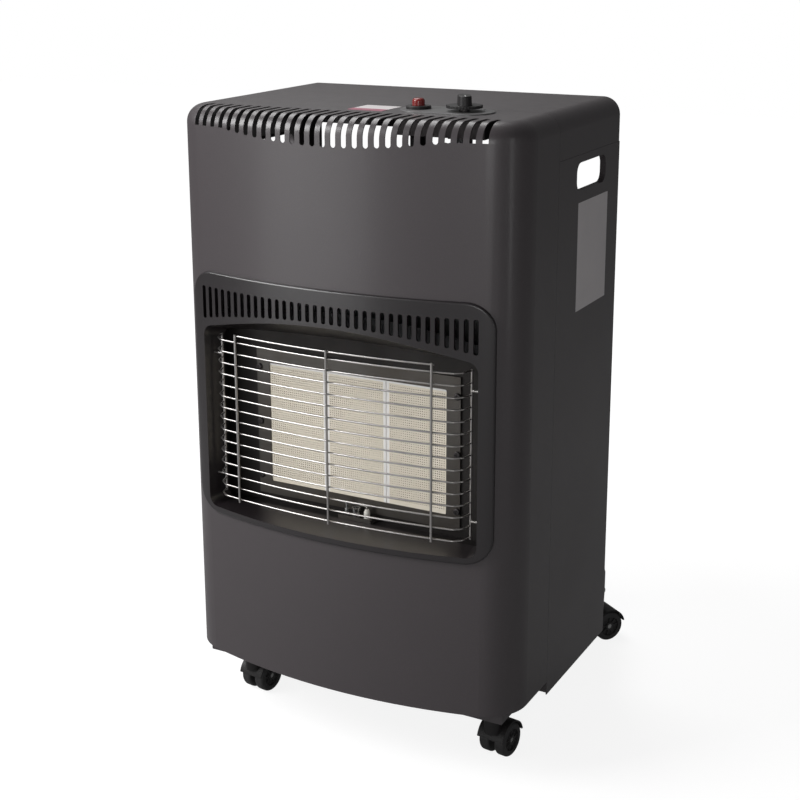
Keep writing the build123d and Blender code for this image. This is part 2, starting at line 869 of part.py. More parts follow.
# ---------------------------------------------------------------- gas valve
valve_low = total_h - 101.0
valve_h = 40.0
valve_w = 44.0
valve_d = 40.0
valve_y = knob_y
shelf_z = total_h - 24.0   # underside of the valve bracket's shelf
neck_r = 9.0
collar_r = 5.5
spindle_r = 3.0
run_play = 0.06
outlet_pitch = 13.0
outlet_y = tube_y
inlet_z = valve_low + 17
valve_screw_dx = 17.0
pilot_port_z = valve_low + 21
couple_port_z = valve_low + 30
couple_port_y = valve_y + 13
pilot_tube_d = 4.0
couple_lead_d = 2.5
spark_lead_d = 3.0
pilot_riser_x = hw - 17.0
couple_riser_x = hw - 11.0

with BuildPart() as gas_valve:
    with Locations((knob_x, valve_y, valve_low)):
        Box(valve_w, valve_d, valve_h, align=(Align.CENTER, Align.CENTER, Align.MIN))
    chamfer(gas_valve.edges().filter_by(Axis.Z), 3)
    chamfer(gas_valve.faces().sort_by(Axis.Z)[-1].edges(), 2)
    with Locations((knob_x, valve_y, valve_low + valve_h)):
        Cylinder(
            neck_r,
            shelf_z - valve_low - valve_h,
            align=(Align.CENTER, Align.CENTER, Align.MIN),
        )
    with BuildSketch(Plane.XY.offset(shelf_z - 2.5)):
        with Locations((knob_x, valve_y)):
            SlotOverall(2 * valve_screw_dx + 12, 20)
    extrude(amount=2.5)
    # inlet boss at the back
    with Locations(
        Location((knob_x, valve_y + valve_d / 2, inlet_z), (-90, 0, 0))
    ):
        Cylinder(8, 6, align=(Align.CENTER, Align.CENTER, Align.MIN))
        with Locations((0, 0, 6)):
            Hole(4, depth=22)
    # bore for the sliding stem
    with Locations((knob_x, valve_y, shelf_z)):
        Hole(collar_r + run_play, depth=20)
    with Locations(
        *[(knob_x + sx * valve_screw_dx, valve_y, shelf_z) for sx in (-1, 1)]
    ):
        Hole(screw_hole / 2, depth=4)
    # outlets below and the two small ports at the side
    with Locations(
        *[
            Location((knob_x + k * outlet_pitch, outlet_y, valve_low), (180, 0, 0))
            for k in (-1, 0, 1)
        ]
    ):
        Hole(pipe_d / 2 + pipe_play, depth=8)
    with Locations(
        Location((knob_x + valve_w / 2, outlet_y + 2, pilot_port_z), (0, 90, 0))
    ):
        Hole(pilot_tube_d / 2 + pipe_play, depth=7)
    with Locations(
        Location((knob_x + valve_w / 2, couple_port_y, couple_port_z), (0, 90, 0))
    ):
        Hole(couple_lead_d / 2 + pipe_play, depth=7)
export(gas_valve, "gas_valve")

shelf_x0 = 46.0
shelf_x1 = 150.0
shelf_y0 = knob_y - 28
shelf_y1 = knob_y + 22
with BuildPart() as valve_bracket:
    with Locations((shelf_x0, shelf_y0, shelf_z)):
        Box(
            shelf_x1 - shelf_x0,
            shelf_y1 - shelf_y0,
            sheet,
            align=(Align.MIN, Align.MIN, Align.MIN),
        )
        Box(
            shelf_x1 - shelf_x0,
            sheet,
            under_top - shelf_z,
            align=(Align.MIN, Align.MIN, Align.MIN),
        )
        Box(
            sheet,
            knob_clear_y - 2 - shelf_y0,
            under_top - shelf_z,
            align=(Align.MIN, Align.MIN, Align.MIN),
        )
    with Locations((shelf_x1, shelf_y0, shelf_z)):
        Box(
            sheet,
            knob_clear_y - 2 - shelf_y0,
            under_top - shelf_z,
            align=(Align.MAX, Align.MIN, Align.MIN),
        )
    # flange welded under the front panel's top
    with Locations(((shelf_x0 + shelf_x1) / 2, shelf_y0, under_top)):
        Box(
            shelf_x1 - shelf_x0,
            10,
            sheet,
            align=(Align.CENTER, Align.MIN, Align.MAX),
        )
    with Locations((knob_x, knob_y, shelf_z + sheet)):
        Hole(collar_r + 1, depth=4)
    with Locations((igniter_x, igniter_y, shelf_z + sheet)):
        Hole(8.3, depth=4)
    with Locations(
        *[(knob_x + sx * valve_screw_dx, valve_y, shelf_z + sheet) for sx in (-1, 1)]
    ):
        Hole(screw_hole / 2, depth=4)
export(valve_bracket, "valve_bracket")

# one pan head screw, used everywhere, head standing on the origin
with BuildPart() as screw:
    Cylinder(screw_head / 2, screw_head_h, align=(Align.CENTER, Align.CENTER, Align.MIN))
    fillet(screw.edges().filter_by(GeomType.CIRCLE).sort_by(Axis.Z)[-1], 1.4)
    Cylinder(screw_d / 2, screw_shank, align=(Align.CENTER, Align.CENTER, Align.MAX))
    with Locations((0, 0, screw_head_h)):
        Box(screw_head * 0.62, 0.9, 1.8, mode=Mode.SUBTRACT)
        Box(0.9, screw_head * 0.62, 1.8, mode=Mode.SUBTRACT)

with BuildPart() as sheet_screws:
    with Locations(
        *[Location((x, back_y, cover_screw_z), (-90, 0, 0)) for x in (-screw_x, screw_x)],
        *[
            Location((sx * screw_x, y, side_bottom), (180, 0, 0))
            for sx in (-1, 1)
            for y in tray_screw_y
        ],
        *[Location((x, plaque_y - sheet, z), (90, 0, 0)) for x, z in burner_screw_places],
        *[
            Location((knob_x + sx * valve_screw_dx, valve_y, shelf_z + sheet))
            for sx in (-1, 1)
        ],
    ):
        add(screw.part)
export(sheet_screws, "sheet_screws")

nozzle_y = valve_y + valve_d / 2 + 6
with BuildPart() as hose_nozzle:
    with BuildSketch(at_y(nozzle_y)):
        with Locations((knob_x, inlet_z)):
            RegularPolygon(9.8, 6)
    extrude(amount=along_y(9))
    with BuildSketch(Plane.YZ.offset(knob_x)):
        with BuildLine():
            y0 = nozzle_y + 9
            Polyline(
                (y0 - 1, inlet_z),
                (y0 - 1, inlet_z + 5),
                (y0 + 3, inlet_z + 5),
                (y0 + 9, inlet_z + 4.2),
                (y0 + 9, inlet_z + 5),
                (y0 + 15, inlet_z + 4.2),
                (y0 + 15, inlet_z + 5),
                (y0 + 21, inlet_z + 4.2),
                (y0 + 21, inlet_z + 5),
                (y0 + 27, inlet_z + 3.6),
                (y0 + 27, inlet_z),
                close=True,
            )
        make_face()
    revolve(axis=Axis((knob_x, 0, inlet_z), (0, 1, 0)))
    with Locations(Location((knob_x, nozzle_y + 36, inlet_z), (-90, 0, 0))):
        Hole(2.4, depth=50)
export(hose_nozzle, "hose_nozzle")


def piped(points, radii, d):
    """Round pipe or lead through the points, one bend radius for each corner."""
    with BuildPart() as p:
        with BuildLine() as path:
            FilletPolyline(*points, radius=radii)
        wire = path.wires()[0]
        with BuildSketch(Plane(wire @ 0, z_dir=wire % 0)):
            Circle(d / 2)
        sweep(path=wire)
    return p


pipe_top = valve_low + 7
pipe_end = injector_low + 6
for k, side, turn_z, x, low_z in (
    (1, "right", valve_low - 38, hw - 40, 196.0),
    (0, "centre", valve_low - 28, hw - 31, 187.0),
    (-1, "left", valve_low - 18, hw - 22, 178.0),
):
    start_x = knob_x - k * outlet_pitch
    gas_pipe = piped(
        [
            (start_x, outlet_y, pipe_top),
            (start_x, outlet_y, turn_z),
            (x, outlet_y, turn_z),
            (x, outlet_y, low_z),
            (k * plaque_pitch, outlet_y, low_z),
            (k * plaque_pitch, outlet_y, pipe_end),
        ],
        [10, 15, 15, 10],
        pipe_d,
    )
    export(gas_pipe, "gas_pipe_" + side)

with BuildPart() as pipe_nuts:
    for k in (-1, 0, 1):
        for x, z in ((knob_x + k * outlet_pitch, valve_low), (k * plaque_pitch, injector_low)):
            with BuildSketch(Plane.XY.offset(z)):
                with Locations((x, outlet_y)):
                    RegularPolygon(nut_r, 6)
                    Circle(pipe_d / 2 + pipe_play, mode=Mode.SUBTRACT)
            extrude(amount=-nut_h)
export(pipe_nuts, "pipe_nuts")

# ---------------------------------------------------------------- pilot parts
pilot_floor = house_bottom + sheet
pilot_top = pilot_floor + sheet
with BuildPart() as pilot_bracket:
    with Locations((spark_x + 8, house_y, pilot_floor)):
        Box(
            spark_x - couple_x + 16,
            house_y - pilot_y + 6.5,
            sheet,
            align=(Align.MAX, Align.MAX, Align.MIN),
        )
    with Locations((spark_x + 8, pilot_y - 6.5, pilot_floor)):
        Box(
            spark_x - couple_x + 16,
            sheet,
            7,
            align=(Align.MAX, Align.MIN, Align.MIN),
        )
    for x, r in ((pilot_x, 4.2), (couple_x, 2.9), (spark_x, 3.7)):
        with Locations((x, pilot_y, pilot_top)):
            Hole(r, depth=4)
export(pilot_bracket, "pilot_bracket")

with BuildPart() as pilot_burner:
    with Locations((pilot_x, pilot_y, pilot_top - 9)):
        Cylinder(4, 19, align=(Align.CENTER, Align.CENTER, Align.MIN))
    with Locations((pilot_x, pilot_y, pilot_top)):
        Cylinder(4.9, 1.6, align=(Align.CENTER, Align.CENTER, Align.MIN))
    with Locations((pilot_x, pilot_y, pilot_top + 10)):
        Cone(4, 5.2, 5, align=(Align.CENTER, Align.CENTER, Align.MIN))
        with Locations((0, 0, 5)):
            Hole(3, depth=4)
    with Locations(Location((pilot_x, pilot_y, pilot_top - 9), (180, 0, 0))):
        Hole(pilot_tube_d / 2 + pipe_play, depth=6)
export(pilot_burner, "pilot_burner")

with BuildPart() as thermocouple:
    with Locations((couple_x, pilot_y, pilot_top - 8)):
        Cylinder(2.7, 20, align=(Align.CENTER, Align.CENTER, Align.MIN))
    with Locations((couple_x, pilot_y, pilot_top)):
        Cylinder(4.7, 1.6, align=(Align.CENTER, Align.CENTER, Align.MIN))
    with Locations((couple_x, pilot_y, pilot_top + 12)):
        Cylinder(1.7, 9, align=(Align.CENTER, Align.CENTER, Align.MIN))
    fillet(thermocouple.edges().filter_by(GeomType.CIRCLE).sort_by(Axis.Z)[-1], 1.2)
    with Locations(Location((couple_x, pilot_y, pilot_top - 8), (180, 0, 0))):
        Hole(couple_lead_d / 2 + pipe_play, depth=5)
export(thermocouple, "thermocouple")

with BuildPart() as spark_electrode:
    with Locations((spark_x, pilot_y, pilot_top - 10)):
        Cylinder(3.5, 22, align=(Align.CENTER, Align.CENTER, Align.MIN))
    with Locations((spark_x, pilot_y, pilot_top)):
        Cylinder(4.9, 2.4, align=(Align.CENTER, Align.CENTER, Align.MIN))
    with Locations((spark_x, pilot_y, pilot_top + 12)):
        Cone(3.5, 2.2, 3, align=(Align.CENTER, Align.CENTER, Align.MIN))
    with Locations(Location((spark_x, pilot_y, pilot_top - 10), (180, 0, 0))):
        Hole(spark_lead_d / 2 + pipe_play, depth=6)
    # steel rod sealed in the ceramic, bent over toward the pilot
    with BuildLine() as rod_path:
        FilletPolyline(
            (spark_x, pilot_y, pilot_top + 12),
            (spark_x, pilot_y, pilot_top + 19),
            (pilot_x + 6, pilot_y, pilot_top + 19),
            radius=2.5,
        )
    with BuildSketch(Plane.XY.offset(pilot_top + 12)):
        with Locations((spark_x, pilot_y)):
            Circle(0.8)
    sweep(path=rod_path.wires()[0])
export(spark_electrode, "spark_electrode")

pilot_tube = piped(
    [
        (pilot_x, pilot_y, pilot_top - 4),
        (pilot_x, pilot_y, 238),
        (pilot_riser_x, pilot_y, 238),
        (pilot_riser_x, pilot_y, pilot_port_z),
        (pilot_riser_x, outlet_y + 2, pilot_port_z),
        (knob_x + valve_w / 2 - 6, outlet_y + 2, pilot_port_z),
    ],
    [12, 20, 20, 20],
    pilot_tube_d,
)
export(pilot_tube, "pilot_tube")

couple_lead = piped(
    [
        (couple_x, pilot_y, pilot_top - 4),
        (couple_x, pilot_y, 254),
        (couple_x, corner_y + 46, 254),
        (couple_riser_x, corner_y + 46, 254),
        (couple_riser_x, corner_y + 46, couple_port_z),
        (couple_riser_x, couple_port_y, couple_port_z),
        (knob_x + valve_w / 2 - 6, couple_port_y, couple_port_z),
    ],
    [10, 10.5, 16, 16, 16],
    couple_lead_d,
)
export(couple_lead, "thermocouple_lead")

igniter_low = shelf_z - 43
spark_lead = piped(
    [
        (igniter_x, igniter_y, igniter_low - 1),
        (igniter_x, igniter_y, igniter_low - 78),
        (igniter_x, corner_y + 98, igniter_low - 78),
        (igniter_x, corner_y + 98, 242),
        (igniter_x, corner_y + 38, 242),
        (spark_x, pilot_y, 242),
        (spark_x, pilot_y, pilot_top - 5),
    ],
    [8.5, 8.5, 16, 16, 16],
    spark_lead_d,
)
export(spark_lead, "ignition_lead")

# ---------------------------------------------------------------- controls
plate_t = 1.5
plate_top = total_h + plate_t
knob_press = 3.0
button_press = 4.0
with BuildPart() as dial_plate:
    with BuildSketch(Plane.XY.offset(total_h)):
        with Locations((94, knob_y)):
            SlotOverall(106, 56)
    extrude(amount=plate_t)
    chamfer(dial_plate.faces().sort_by(Axis.Z)[-1].edges(), 0.5)
    with Locations((knob_x, knob_y, plate_top)):
        Hole(spindle_hole / 2, depth=5)
    with Locations((igniter_x, igniter_y, plate_top)):
        Hole(igniter_hole / 2, depth=5)
export(dial_plate, "dial_plate")

stem_low = shelf_z - 11
knob_low = plate_top + knob_press + 0.4
knob_h = 13.2
stem_top = knob_low + 5        # the stem ends inside the knob
spindle_top = knob_low + 10
with BuildPart() as spindle_collar:
    with Locations((knob_x, knob_y, stem_low)):
        Cylinder(
            collar_r, stem_top - stem_low, align=(Align.CENTER, Align.CENTER, Align.MIN)
        )
    with Locations((knob_x, knob_y, stem_top)):
        Hole(spindle_r + run_play, depth=stem_top - knob_low)
export(spindle_collar, "spindle_collar")

with BuildPart() as valve_spindle:
    with Locations((knob_x, knob_y, knob_low)):
        Cylinder(
            spindle_r, spindle_top - knob_low, align=(Align.CENTER, Align.CENTER, Align.MIN)
        )
export(valve_spindle, "valve_spindle")

skirt_r = 19.0
with BuildPart() as control_knob:
    with Locations((knob_x, knob_y, knob_low)):
        Cylinder(skirt_r, 3, align=(Align.CENTER, Align.CENTER, Align.MIN))
    chamfer(
        control_knob.edges().filter_by(GeomType.CIRCLE).sort_by(Axis.Z)[-1], 1.0
    )
    with BuildSketch(Plane.XY.offset(knob_low + 2)):
        with Locations(Location((knob_x, knob_y), 30)):
            SlotOverall(30, 14.5, rotation=90)
    extrude(amount=knob_h - 2, taper=3)
    fillet(control_knob.faces().sort_by(Axis.Z)[-1].edges(), 1.0)
    with Locations(Location((knob_x, knob_y, knob_low), (180, 0, 0))):
        Hole(collar_r + run_play, depth=stem_top - knob_low + 0.2)
        Hole(spindle_r + 0.02, depth=spindle_top - knob_low + 0.2)
export(control_knob, "control_knob")

button_r = 6.8
tube_top = plate_top + 3
button_top = plate_top + 11
button_bore = 16.0
with BuildPart() as igniter_body:
    with Locations((igniter_x, igniter_y, igniter_low)):
        Cylinder(9, shelf_z - igniter_low, align=(Align.CENTER, Align.CENTER, Align.MIN))
        Cylinder(8, tube_top - igniter_low, align=(Align.CENTER, Align.CENTER, Align.MIN))
        Cylinder(3.2, 8, align=(Align.CENTER, Align.CENTER, Align.MAX))
    with Locations((igniter_x, igniter_y, tube_top)):
        Hole(button_r + run_play, depth=button_bore)
    with Locations(Location((igniter_x, igniter_y, igniter_low - 8), (180, 0, 0))):
        Hole(spark_lead_d / 2 + pipe_play, depth=8)
export(igniter_body, "igniter_body")

with BuildPart() as igniter_collar:
    with Locations((igniter_x, igniter_y, plate_top)):
        Cylinder(13.5, 3.5, align=(Align.CENTER, Align.CENTER, Align.MIN))
    chamfer(
        igniter_collar.edges().filter_by(GeomType.CIRCLE).sort_by(Axis.Z)[-1], 1.0
    )
    with Locations((igniter_x, igniter_y, plate_top + 3.5)):
        Hole(8 + run_play, depth=6)
export(igniter_collar, "igniter_collar")

button_low = tube_top - button_bore + button_press + 0.4
with BuildPart() as igniter_button:
    with Locations((igniter_x, igniter_y, button_low)):
        Cylinder(
            button_r, button_top - button_low, align=(Align.CENTER, Align.CENTER, Align.MIN)
        )
    fillet(
        igniter_button.edges().filter_by(GeomType.CIRCLE).sort_by(Axis.Z)[-1], 3.0
    )
export(igniter_button, "igniter_button")

# ---------------------------------------------------------------- casters
wheel_r = 20.0
wheel_w = 13.0
web_t = 6.0
wheel_gap = 0.6
trail = 16.0
hood_r = 23.2
hood_w = 34.0
axle_r = 3.0
pin_r = 4.0
boss_top = 59.0
socket_flange = 15.0
front_turn = -8.0          # the casters stand swivelled a little
rear_turn = 36.0

with BuildPart() as caster_sockets:
    for sx in (-1, 1):
        for x, y in ((sx * caster_front_x, caster_front_y), (sx * caster_back_x, caster_back_y)):
            with Locations((x, y, boss_top)):
                Cylinder(
                    10, tray_z - boss_top, align=(Align.CENTER, Align.CENTER, Align.MIN)
                )
            with Locations((x, y, tray_z)):
                Cylinder(
                    socket_flange, 2, align=(Align.CENTER, Align.CENTER, Align.MAX)
                )
                Cylinder(
                    socket_hole / 2 - 0.1,
                    17,
                    align=(Align.CENTER, Align.CENTER, Align.MIN),
                )
            with Locations(Location((x, y, boss_top), (180, 0, 0))):
                Hole(pin_r + run_play, depth=27.5)
export(caster_sockets, "caster_sockets")


def caster(x, y, turn, name):
    """Twin wheel swivel caster; turn is the angle of its trail from +Y toward -X."""
    place = Location((x, y, 0), (0, 0, turn))
    with BuildPart() as hood:
        with Locations(Location((0, trail, wheel_r), (0, 90, 0))):
            Cylinder(hood_r, hood_w)
        with Locations((0, trail, wheel_r + 5)):
            Box(
                80,
                80,
                60,
                align=(Align.CENTER, Align.CENTER, Align.MAX),
                mode=Mode.SUBTRACT,
            )
        with Locations((0, 0, boss_top)):
            Cylinder(10, 26, align=(Align.CENTER, Align.CENTER, Align.MAX))
        for side in (-1, 1):
            with Locations(
                Location((side * (web_t / 2 + 15), trail, wheel_r), (0, 90, 0))
            ):
                Cylinder(wheel_r + 1.3, 30, mode=Mode.SUBTRACT)
        with Locations(Location((0, trail, wheel_r), (0, 90, 0))):
            Cylinder(9, web_t)
            Cylinder(axle_r + 0.05, hood_w, mode=Mode.SUBTRACT)
        with Locations(Location((0, 0, boss_top))):
            Hole(pin_r + 0.05, depth=13)
    with BuildPart() as pin:
        with Locations((0, 0, boss_top - 12.5)):
            Cylinder(pin_r, 39.5, align=(Align.CENTER, Align.CENTER, Align.MIN))
        with Locations(Location((0, trail, wheel_r), (0, 90, 0))):
            Cylinder(axle_r, 2 * (web_t / 2 + wheel_gap + wheel_w) - 1)
    wheels = []
    for side in (-1, 1):
        with BuildPart() as wheel:
            middle = side * (web_t / 2 + wheel_gap + wheel_w / 2)
            with Locations(Location((middle, trail, wheel_r), (0, 90, 0))):
                Cylinder(wheel_r, wheel_w)
            fillet(wheel.edges().filter_by(GeomType.CIRCLE), 3)
            outer = side * (web_t / 2 + wheel_gap + wheel_w)
            with Locations(Location((outer, trail, wheel_r), (0, 90, 0))):
                Cylinder(13, 5, mode=Mode.SUBTRACT)
            with Locations(Location((middle, trail, wheel_r), (0, 90, 0))):
                Cylinder(5.5, wheel_w)
                Cylinder(axle_r + run_play, 2 * wheel_w, mode=Mode.SUBTRACT)
        wheels.append(wheel)
    for builder, kind in (
        (hood, "caster_hood_"),
        (pin, "caster_pin_"),
        (wheels[0], "caster_wheel_a_"),
        (wheels[1], "caster_wheel_b_"),
    ):
        with BuildPart() as placed:
            with Locations(place):
                add(builder.part)
        export(placed, kind + name)


caster(-caster_front_x, caster_front_y, front_turn, "front_left")
caster(caster_front_x, caster_front_y, front_turn, "front_right")
caster(-caster_back_x, caster_back_y, rear_turn, "rear_left")
caster(caster_back_x, caster_back_y, -rear_turn, "rear_right")
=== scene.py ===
# %% [markdown]
# # A portable gas cabinet heater
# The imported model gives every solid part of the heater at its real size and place. This lesson
# dresses those parts: it pierces the ceramic plaques, marks the dial, ribs the knob and the wheels,
# and gives each visible surface a finish made of nodes.

import bpy
import bmesh
import json
import math
from mathutils import Euler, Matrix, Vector

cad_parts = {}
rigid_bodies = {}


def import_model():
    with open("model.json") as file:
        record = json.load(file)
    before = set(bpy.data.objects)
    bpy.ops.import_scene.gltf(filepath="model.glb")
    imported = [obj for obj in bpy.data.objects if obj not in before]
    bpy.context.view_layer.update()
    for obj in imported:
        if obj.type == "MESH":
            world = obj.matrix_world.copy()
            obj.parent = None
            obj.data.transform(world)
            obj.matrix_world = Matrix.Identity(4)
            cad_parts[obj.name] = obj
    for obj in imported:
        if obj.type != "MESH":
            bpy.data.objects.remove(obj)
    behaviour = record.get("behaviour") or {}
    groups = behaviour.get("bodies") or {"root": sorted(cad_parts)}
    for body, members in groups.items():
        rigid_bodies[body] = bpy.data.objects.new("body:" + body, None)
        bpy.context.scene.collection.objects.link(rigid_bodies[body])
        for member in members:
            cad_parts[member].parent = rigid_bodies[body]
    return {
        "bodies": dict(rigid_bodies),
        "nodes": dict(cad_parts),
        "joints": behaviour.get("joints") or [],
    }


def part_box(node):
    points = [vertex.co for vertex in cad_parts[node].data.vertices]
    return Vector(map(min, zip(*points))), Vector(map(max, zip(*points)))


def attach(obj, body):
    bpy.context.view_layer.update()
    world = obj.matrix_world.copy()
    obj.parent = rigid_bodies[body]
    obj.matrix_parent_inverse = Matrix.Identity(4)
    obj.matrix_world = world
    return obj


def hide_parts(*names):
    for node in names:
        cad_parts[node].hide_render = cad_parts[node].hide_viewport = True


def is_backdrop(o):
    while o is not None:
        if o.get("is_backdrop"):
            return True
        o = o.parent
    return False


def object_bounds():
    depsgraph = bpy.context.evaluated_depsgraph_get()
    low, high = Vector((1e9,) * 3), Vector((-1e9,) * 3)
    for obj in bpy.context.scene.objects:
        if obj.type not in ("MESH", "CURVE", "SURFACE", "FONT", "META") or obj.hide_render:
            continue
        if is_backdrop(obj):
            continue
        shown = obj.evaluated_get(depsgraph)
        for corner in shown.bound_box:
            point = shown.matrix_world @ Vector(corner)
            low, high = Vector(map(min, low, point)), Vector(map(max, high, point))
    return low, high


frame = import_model()
cad_low, cad_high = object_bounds()
nodes = frame["nodes"]

# %% [markdown]
# ## The camera
# The photograph looks at the front's right corner from a little above. Its place and lens were worked
# out beforehand from the outline, so they are written here as plain numbers. A small lens shift keeps
# the uprights nearly upright, as the photograph has them.

# %% Camera
camera_data = bpy.data.cameras.new("photo_camera")
camera_data.sensor_width = 36
camera_data.lens = 66.68
camera_data.shift_x = 0.0297
camera_data.shift_y = -0.1
camera = bpy.data.objects.new("photo_camera", camera_data)
camera.location = (0.78194, -1.5391, 0.91689)
camera.rotation_euler = Euler([math.radians(a) for a in (75.3827, 0.3701, 28.704)])
bpy.context.scene.collection.objects.link(camera)
bpy.context.scene.camera = camera
print("camera at", tuple(round(c, 2) for c in camera.location), "lens", camera_data.lens, "mm")

# %% [markdown]
# ## Small tools for node trees
# A socket may take a link, a number or a colour. One helper settles which, and the others use it: a
# Math node, a noise texture, and a ramp that turns a range of values into a mask from 0 to 1.
# Textures are read at the Object coordinates, which are metres in the heater's own frame, so the grain
# has the same size on every part.

# %% Helpers for node trees


def feed(tree, value, socket):
    """Gives a socket a link, a colour or a plain number."""
    if isinstance(value, bpy.types.NodeSocket):
        tree.links.new(value, socket)
    elif isinstance(value, tuple):
        socket.default_value = (*value, 1.0)
    else:
        socket.default_value = value


def math_node(tree, operation, a, b=None, c=None, clamp=False):
    """A Math node whose inputs are sockets or plain numbers."""
    node = tree.nodes.new("ShaderNodeMath")
    node.operation = operation
    node.use_clamp = clamp
    for i, value in enumerate((a, b, c)):
        if value is not None:
            feed(tree, value, node.inputs[i])
    return node.outputs[0]


def ramp(tree, value, begin, full):
    """A mask: 0 below begin, 1 above full, and straight between them."""
    slope = 1.0 / (full - begin)
    return math_node(tree, "MULTIPLY_ADD", value, slope, -begin * slope, clamp=True)


def object_place(tree):
    """The Object coordinates."""
    return tree.nodes.new("ShaderNodeTexCoord").outputs["Object"]


def one_axis(tree, vector, axis):
    """One component of a vector."""
    parts = tree.nodes.new("ShaderNodeSeparateXYZ")
    feed(tree, vector, parts.inputs[0])
    return parts.outputs[axis]


def noise(tree, vector, scale, detail, roughness=0.5):
    """The value of a noise texture; its scale is a socket or a number."""
    texture = tree.nodes.new("ShaderNodeTexNoise")
    texture.inputs["Detail"].default_value = detail
    texture.inputs["Roughness"].default_value = roughness
    feed(tree, vector, texture.inputs["Vector"])
    feed(tree, scale, texture.inputs["Scale"])
    return texture.outputs["Fac"]


# %% [markdown]
# ## Shared effects
# Paint, sheet steel and plastic all show a fine grain, cloudy patches and a little dust on top. Each of
# these could be built again in every material. It is built once as a node group instead, with named
# inputs, and each finish gives it values of its own. A group hands out only masks and heights: the
# shader stays in the material, where it can be seen.

# %% Helper for node groups


def effect_group(name, inputs, outputs):
    """A shader group with float inputs (name: default) and outputs; gives also its two ends."""
    tree = bpy.data.node_groups.new(name, "ShaderNodeTree")
    for key, value in inputs.items():
        socket = tree.interface.new_socket(key, in_out="INPUT", socket_type="NodeSocketFloat")
        socket.default_value = value
    for key in outputs:
        tree.interface.new_socket(key, in_out="OUTPUT", socket_type="NodeSocketFloat")
    start, end = tree.nodes.new("NodeGroupInput"), tree.nodes.new("NodeGroupOutput")
    return tree, start.outputs, end.inputs


# %% Grain: the fine pebble of powder coat and moulded plastic
grain_group, given, result = effect_group("Surface grain", {"Scale": 900.0}, ["Height", "Fleck"])
where = object_place(grain_group)
feed(grain_group, noise(grain_group, where, given["Scale"], 3.0, 0.55), result["Height"])
specks = noise(grain_group, where, given["Scale"], 1.0)
feed(grain_group, ramp(grain_group, specks, 0.475, 0.725), result["Fleck"])

# %% Clouds: broad, soft changes of tone over a large sheet
cloud_group, given, result = effect_group("Soft clouds", {"Scale": 7.0, "Contrast": 1.0}, ["Mask"])
cloud = noise(cloud_group, object_place(cloud_group), given["Scale"], 4.0, 0.6)
centred = math_node(cloud_group, "SUBTRACT", cloud, 0.5)
spread = math_node(cloud_group, "MULTIPLY_ADD", centred, given["Contrast"], 0.5, clamp=True)
feed(cloud_group, spread, result["Mask"])

# %% Dust: settles only where a surface faces up
dust_group, given, result = effect_group("Settled dust", {"Amount": 0.3, "Scale": 60.0}, ["Mask"])
normal = dust_group.nodes.new("ShaderNodeTexCoord").outputs["Normal"]
upward = ramp(dust_group, one_axis(dust_group, normal, "Z"), 0.5, 1.0)
speckle = noise(dust_group, object_place(dust_group), given["Scale"], 6.0, 0.7)
settled = math_node(dust_group, "MULTIPLY", upward, ramp(dust_group, speckle, 0.3, 0.7))
feed(dust_group, math_node(dust_group, "MULTIPLY", settled, given["Amount"]), result["Mask"])

# %% Brushing: fine lines along one direction, as rolled, drawn and turned metal has
line_group, given, result = effect_group(
    "Brushed lines", {"Across X": 300.0, "Across Y": 300.0, "Across Z": 300.0}, ["Line"])
stretch = line_group.nodes.new("ShaderNodeCombineXYZ")
for axis in "XYZ":
    feed(line_group, given["Across " + axis], stretch.inputs[axis])
squeezed = line_group.nodes.new("ShaderNodeVectorMath")
squeezed.operation = "MULTIPLY"
feed(line_group, object_place(line_group), squeezed.inputs[0])
feed(line_group, stretch.outputs[0], squeezed.inputs[1])
feed(line_group, noise(line_group, squeezed.outputs[0], 1.0, 4.0), result["Line"])

print("effects:", [g.name for g in bpy.data.node_groups])

# %% [markdown]
# ## Building a finish
# Most of the heater's finishes differ only in colour, gloss and grain, so one helper lays out the same
# small graph for each: a base colour varied by clouds, lightened by dust, and a bump from the grain.
# Numbers that are the same all over are set on the shader's own sockets.

# %% Finish helpers
dust_colour = (0.32, 0.31, 0.29)
coat_roughness = 0.2


def group_node(tree, group, **values):
    """Places a shared effect in a material and sets its inputs by name."""
    node = tree.nodes.new("ShaderNodeGroup")
    node.node_tree = group
    for key, value in values.items():
        node.inputs[key.replace("_", " ")].default_value = value
    return node.outputs


def blend_colour(tree, factor, a, b):
    """Mixes two colours; each is a socket or an RGB tuple."""
    node = tree.nodes.new("ShaderNodeMix")
    node.data_type = "RGBA"
    for value, socket in ((factor, node.inputs[0]), (a, node.inputs[6]), (b, node.inputs[7])):
        feed(tree, value, socket)
    return node.outputs[2]


def new_material(name):
    """A node material and its shader's inputs."""
    material = bpy.data.materials.new(name)
    material.use_nodes = True
    return material, material.node_tree, material.node_tree.nodes["Principled BSDF"].inputs


def rough_and_raised(tree, shader, roughness, mask, height, bump):
    """Roughness that follows a mask between two limits, and a bump from a height."""
    low, high = roughness
    feed(tree, math_node(tree, "MULTIPLY_ADD", mask, high - low, low), shader["Roughness"])
    if bump:
        raised = tree.nodes.new("ShaderNodeBump")
        raised.inputs["Distance"].default_value = bump
        feed(tree, height, raised.inputs["Height"])
        feed(tree, raised.outputs["Normal"], shader["Normal"])


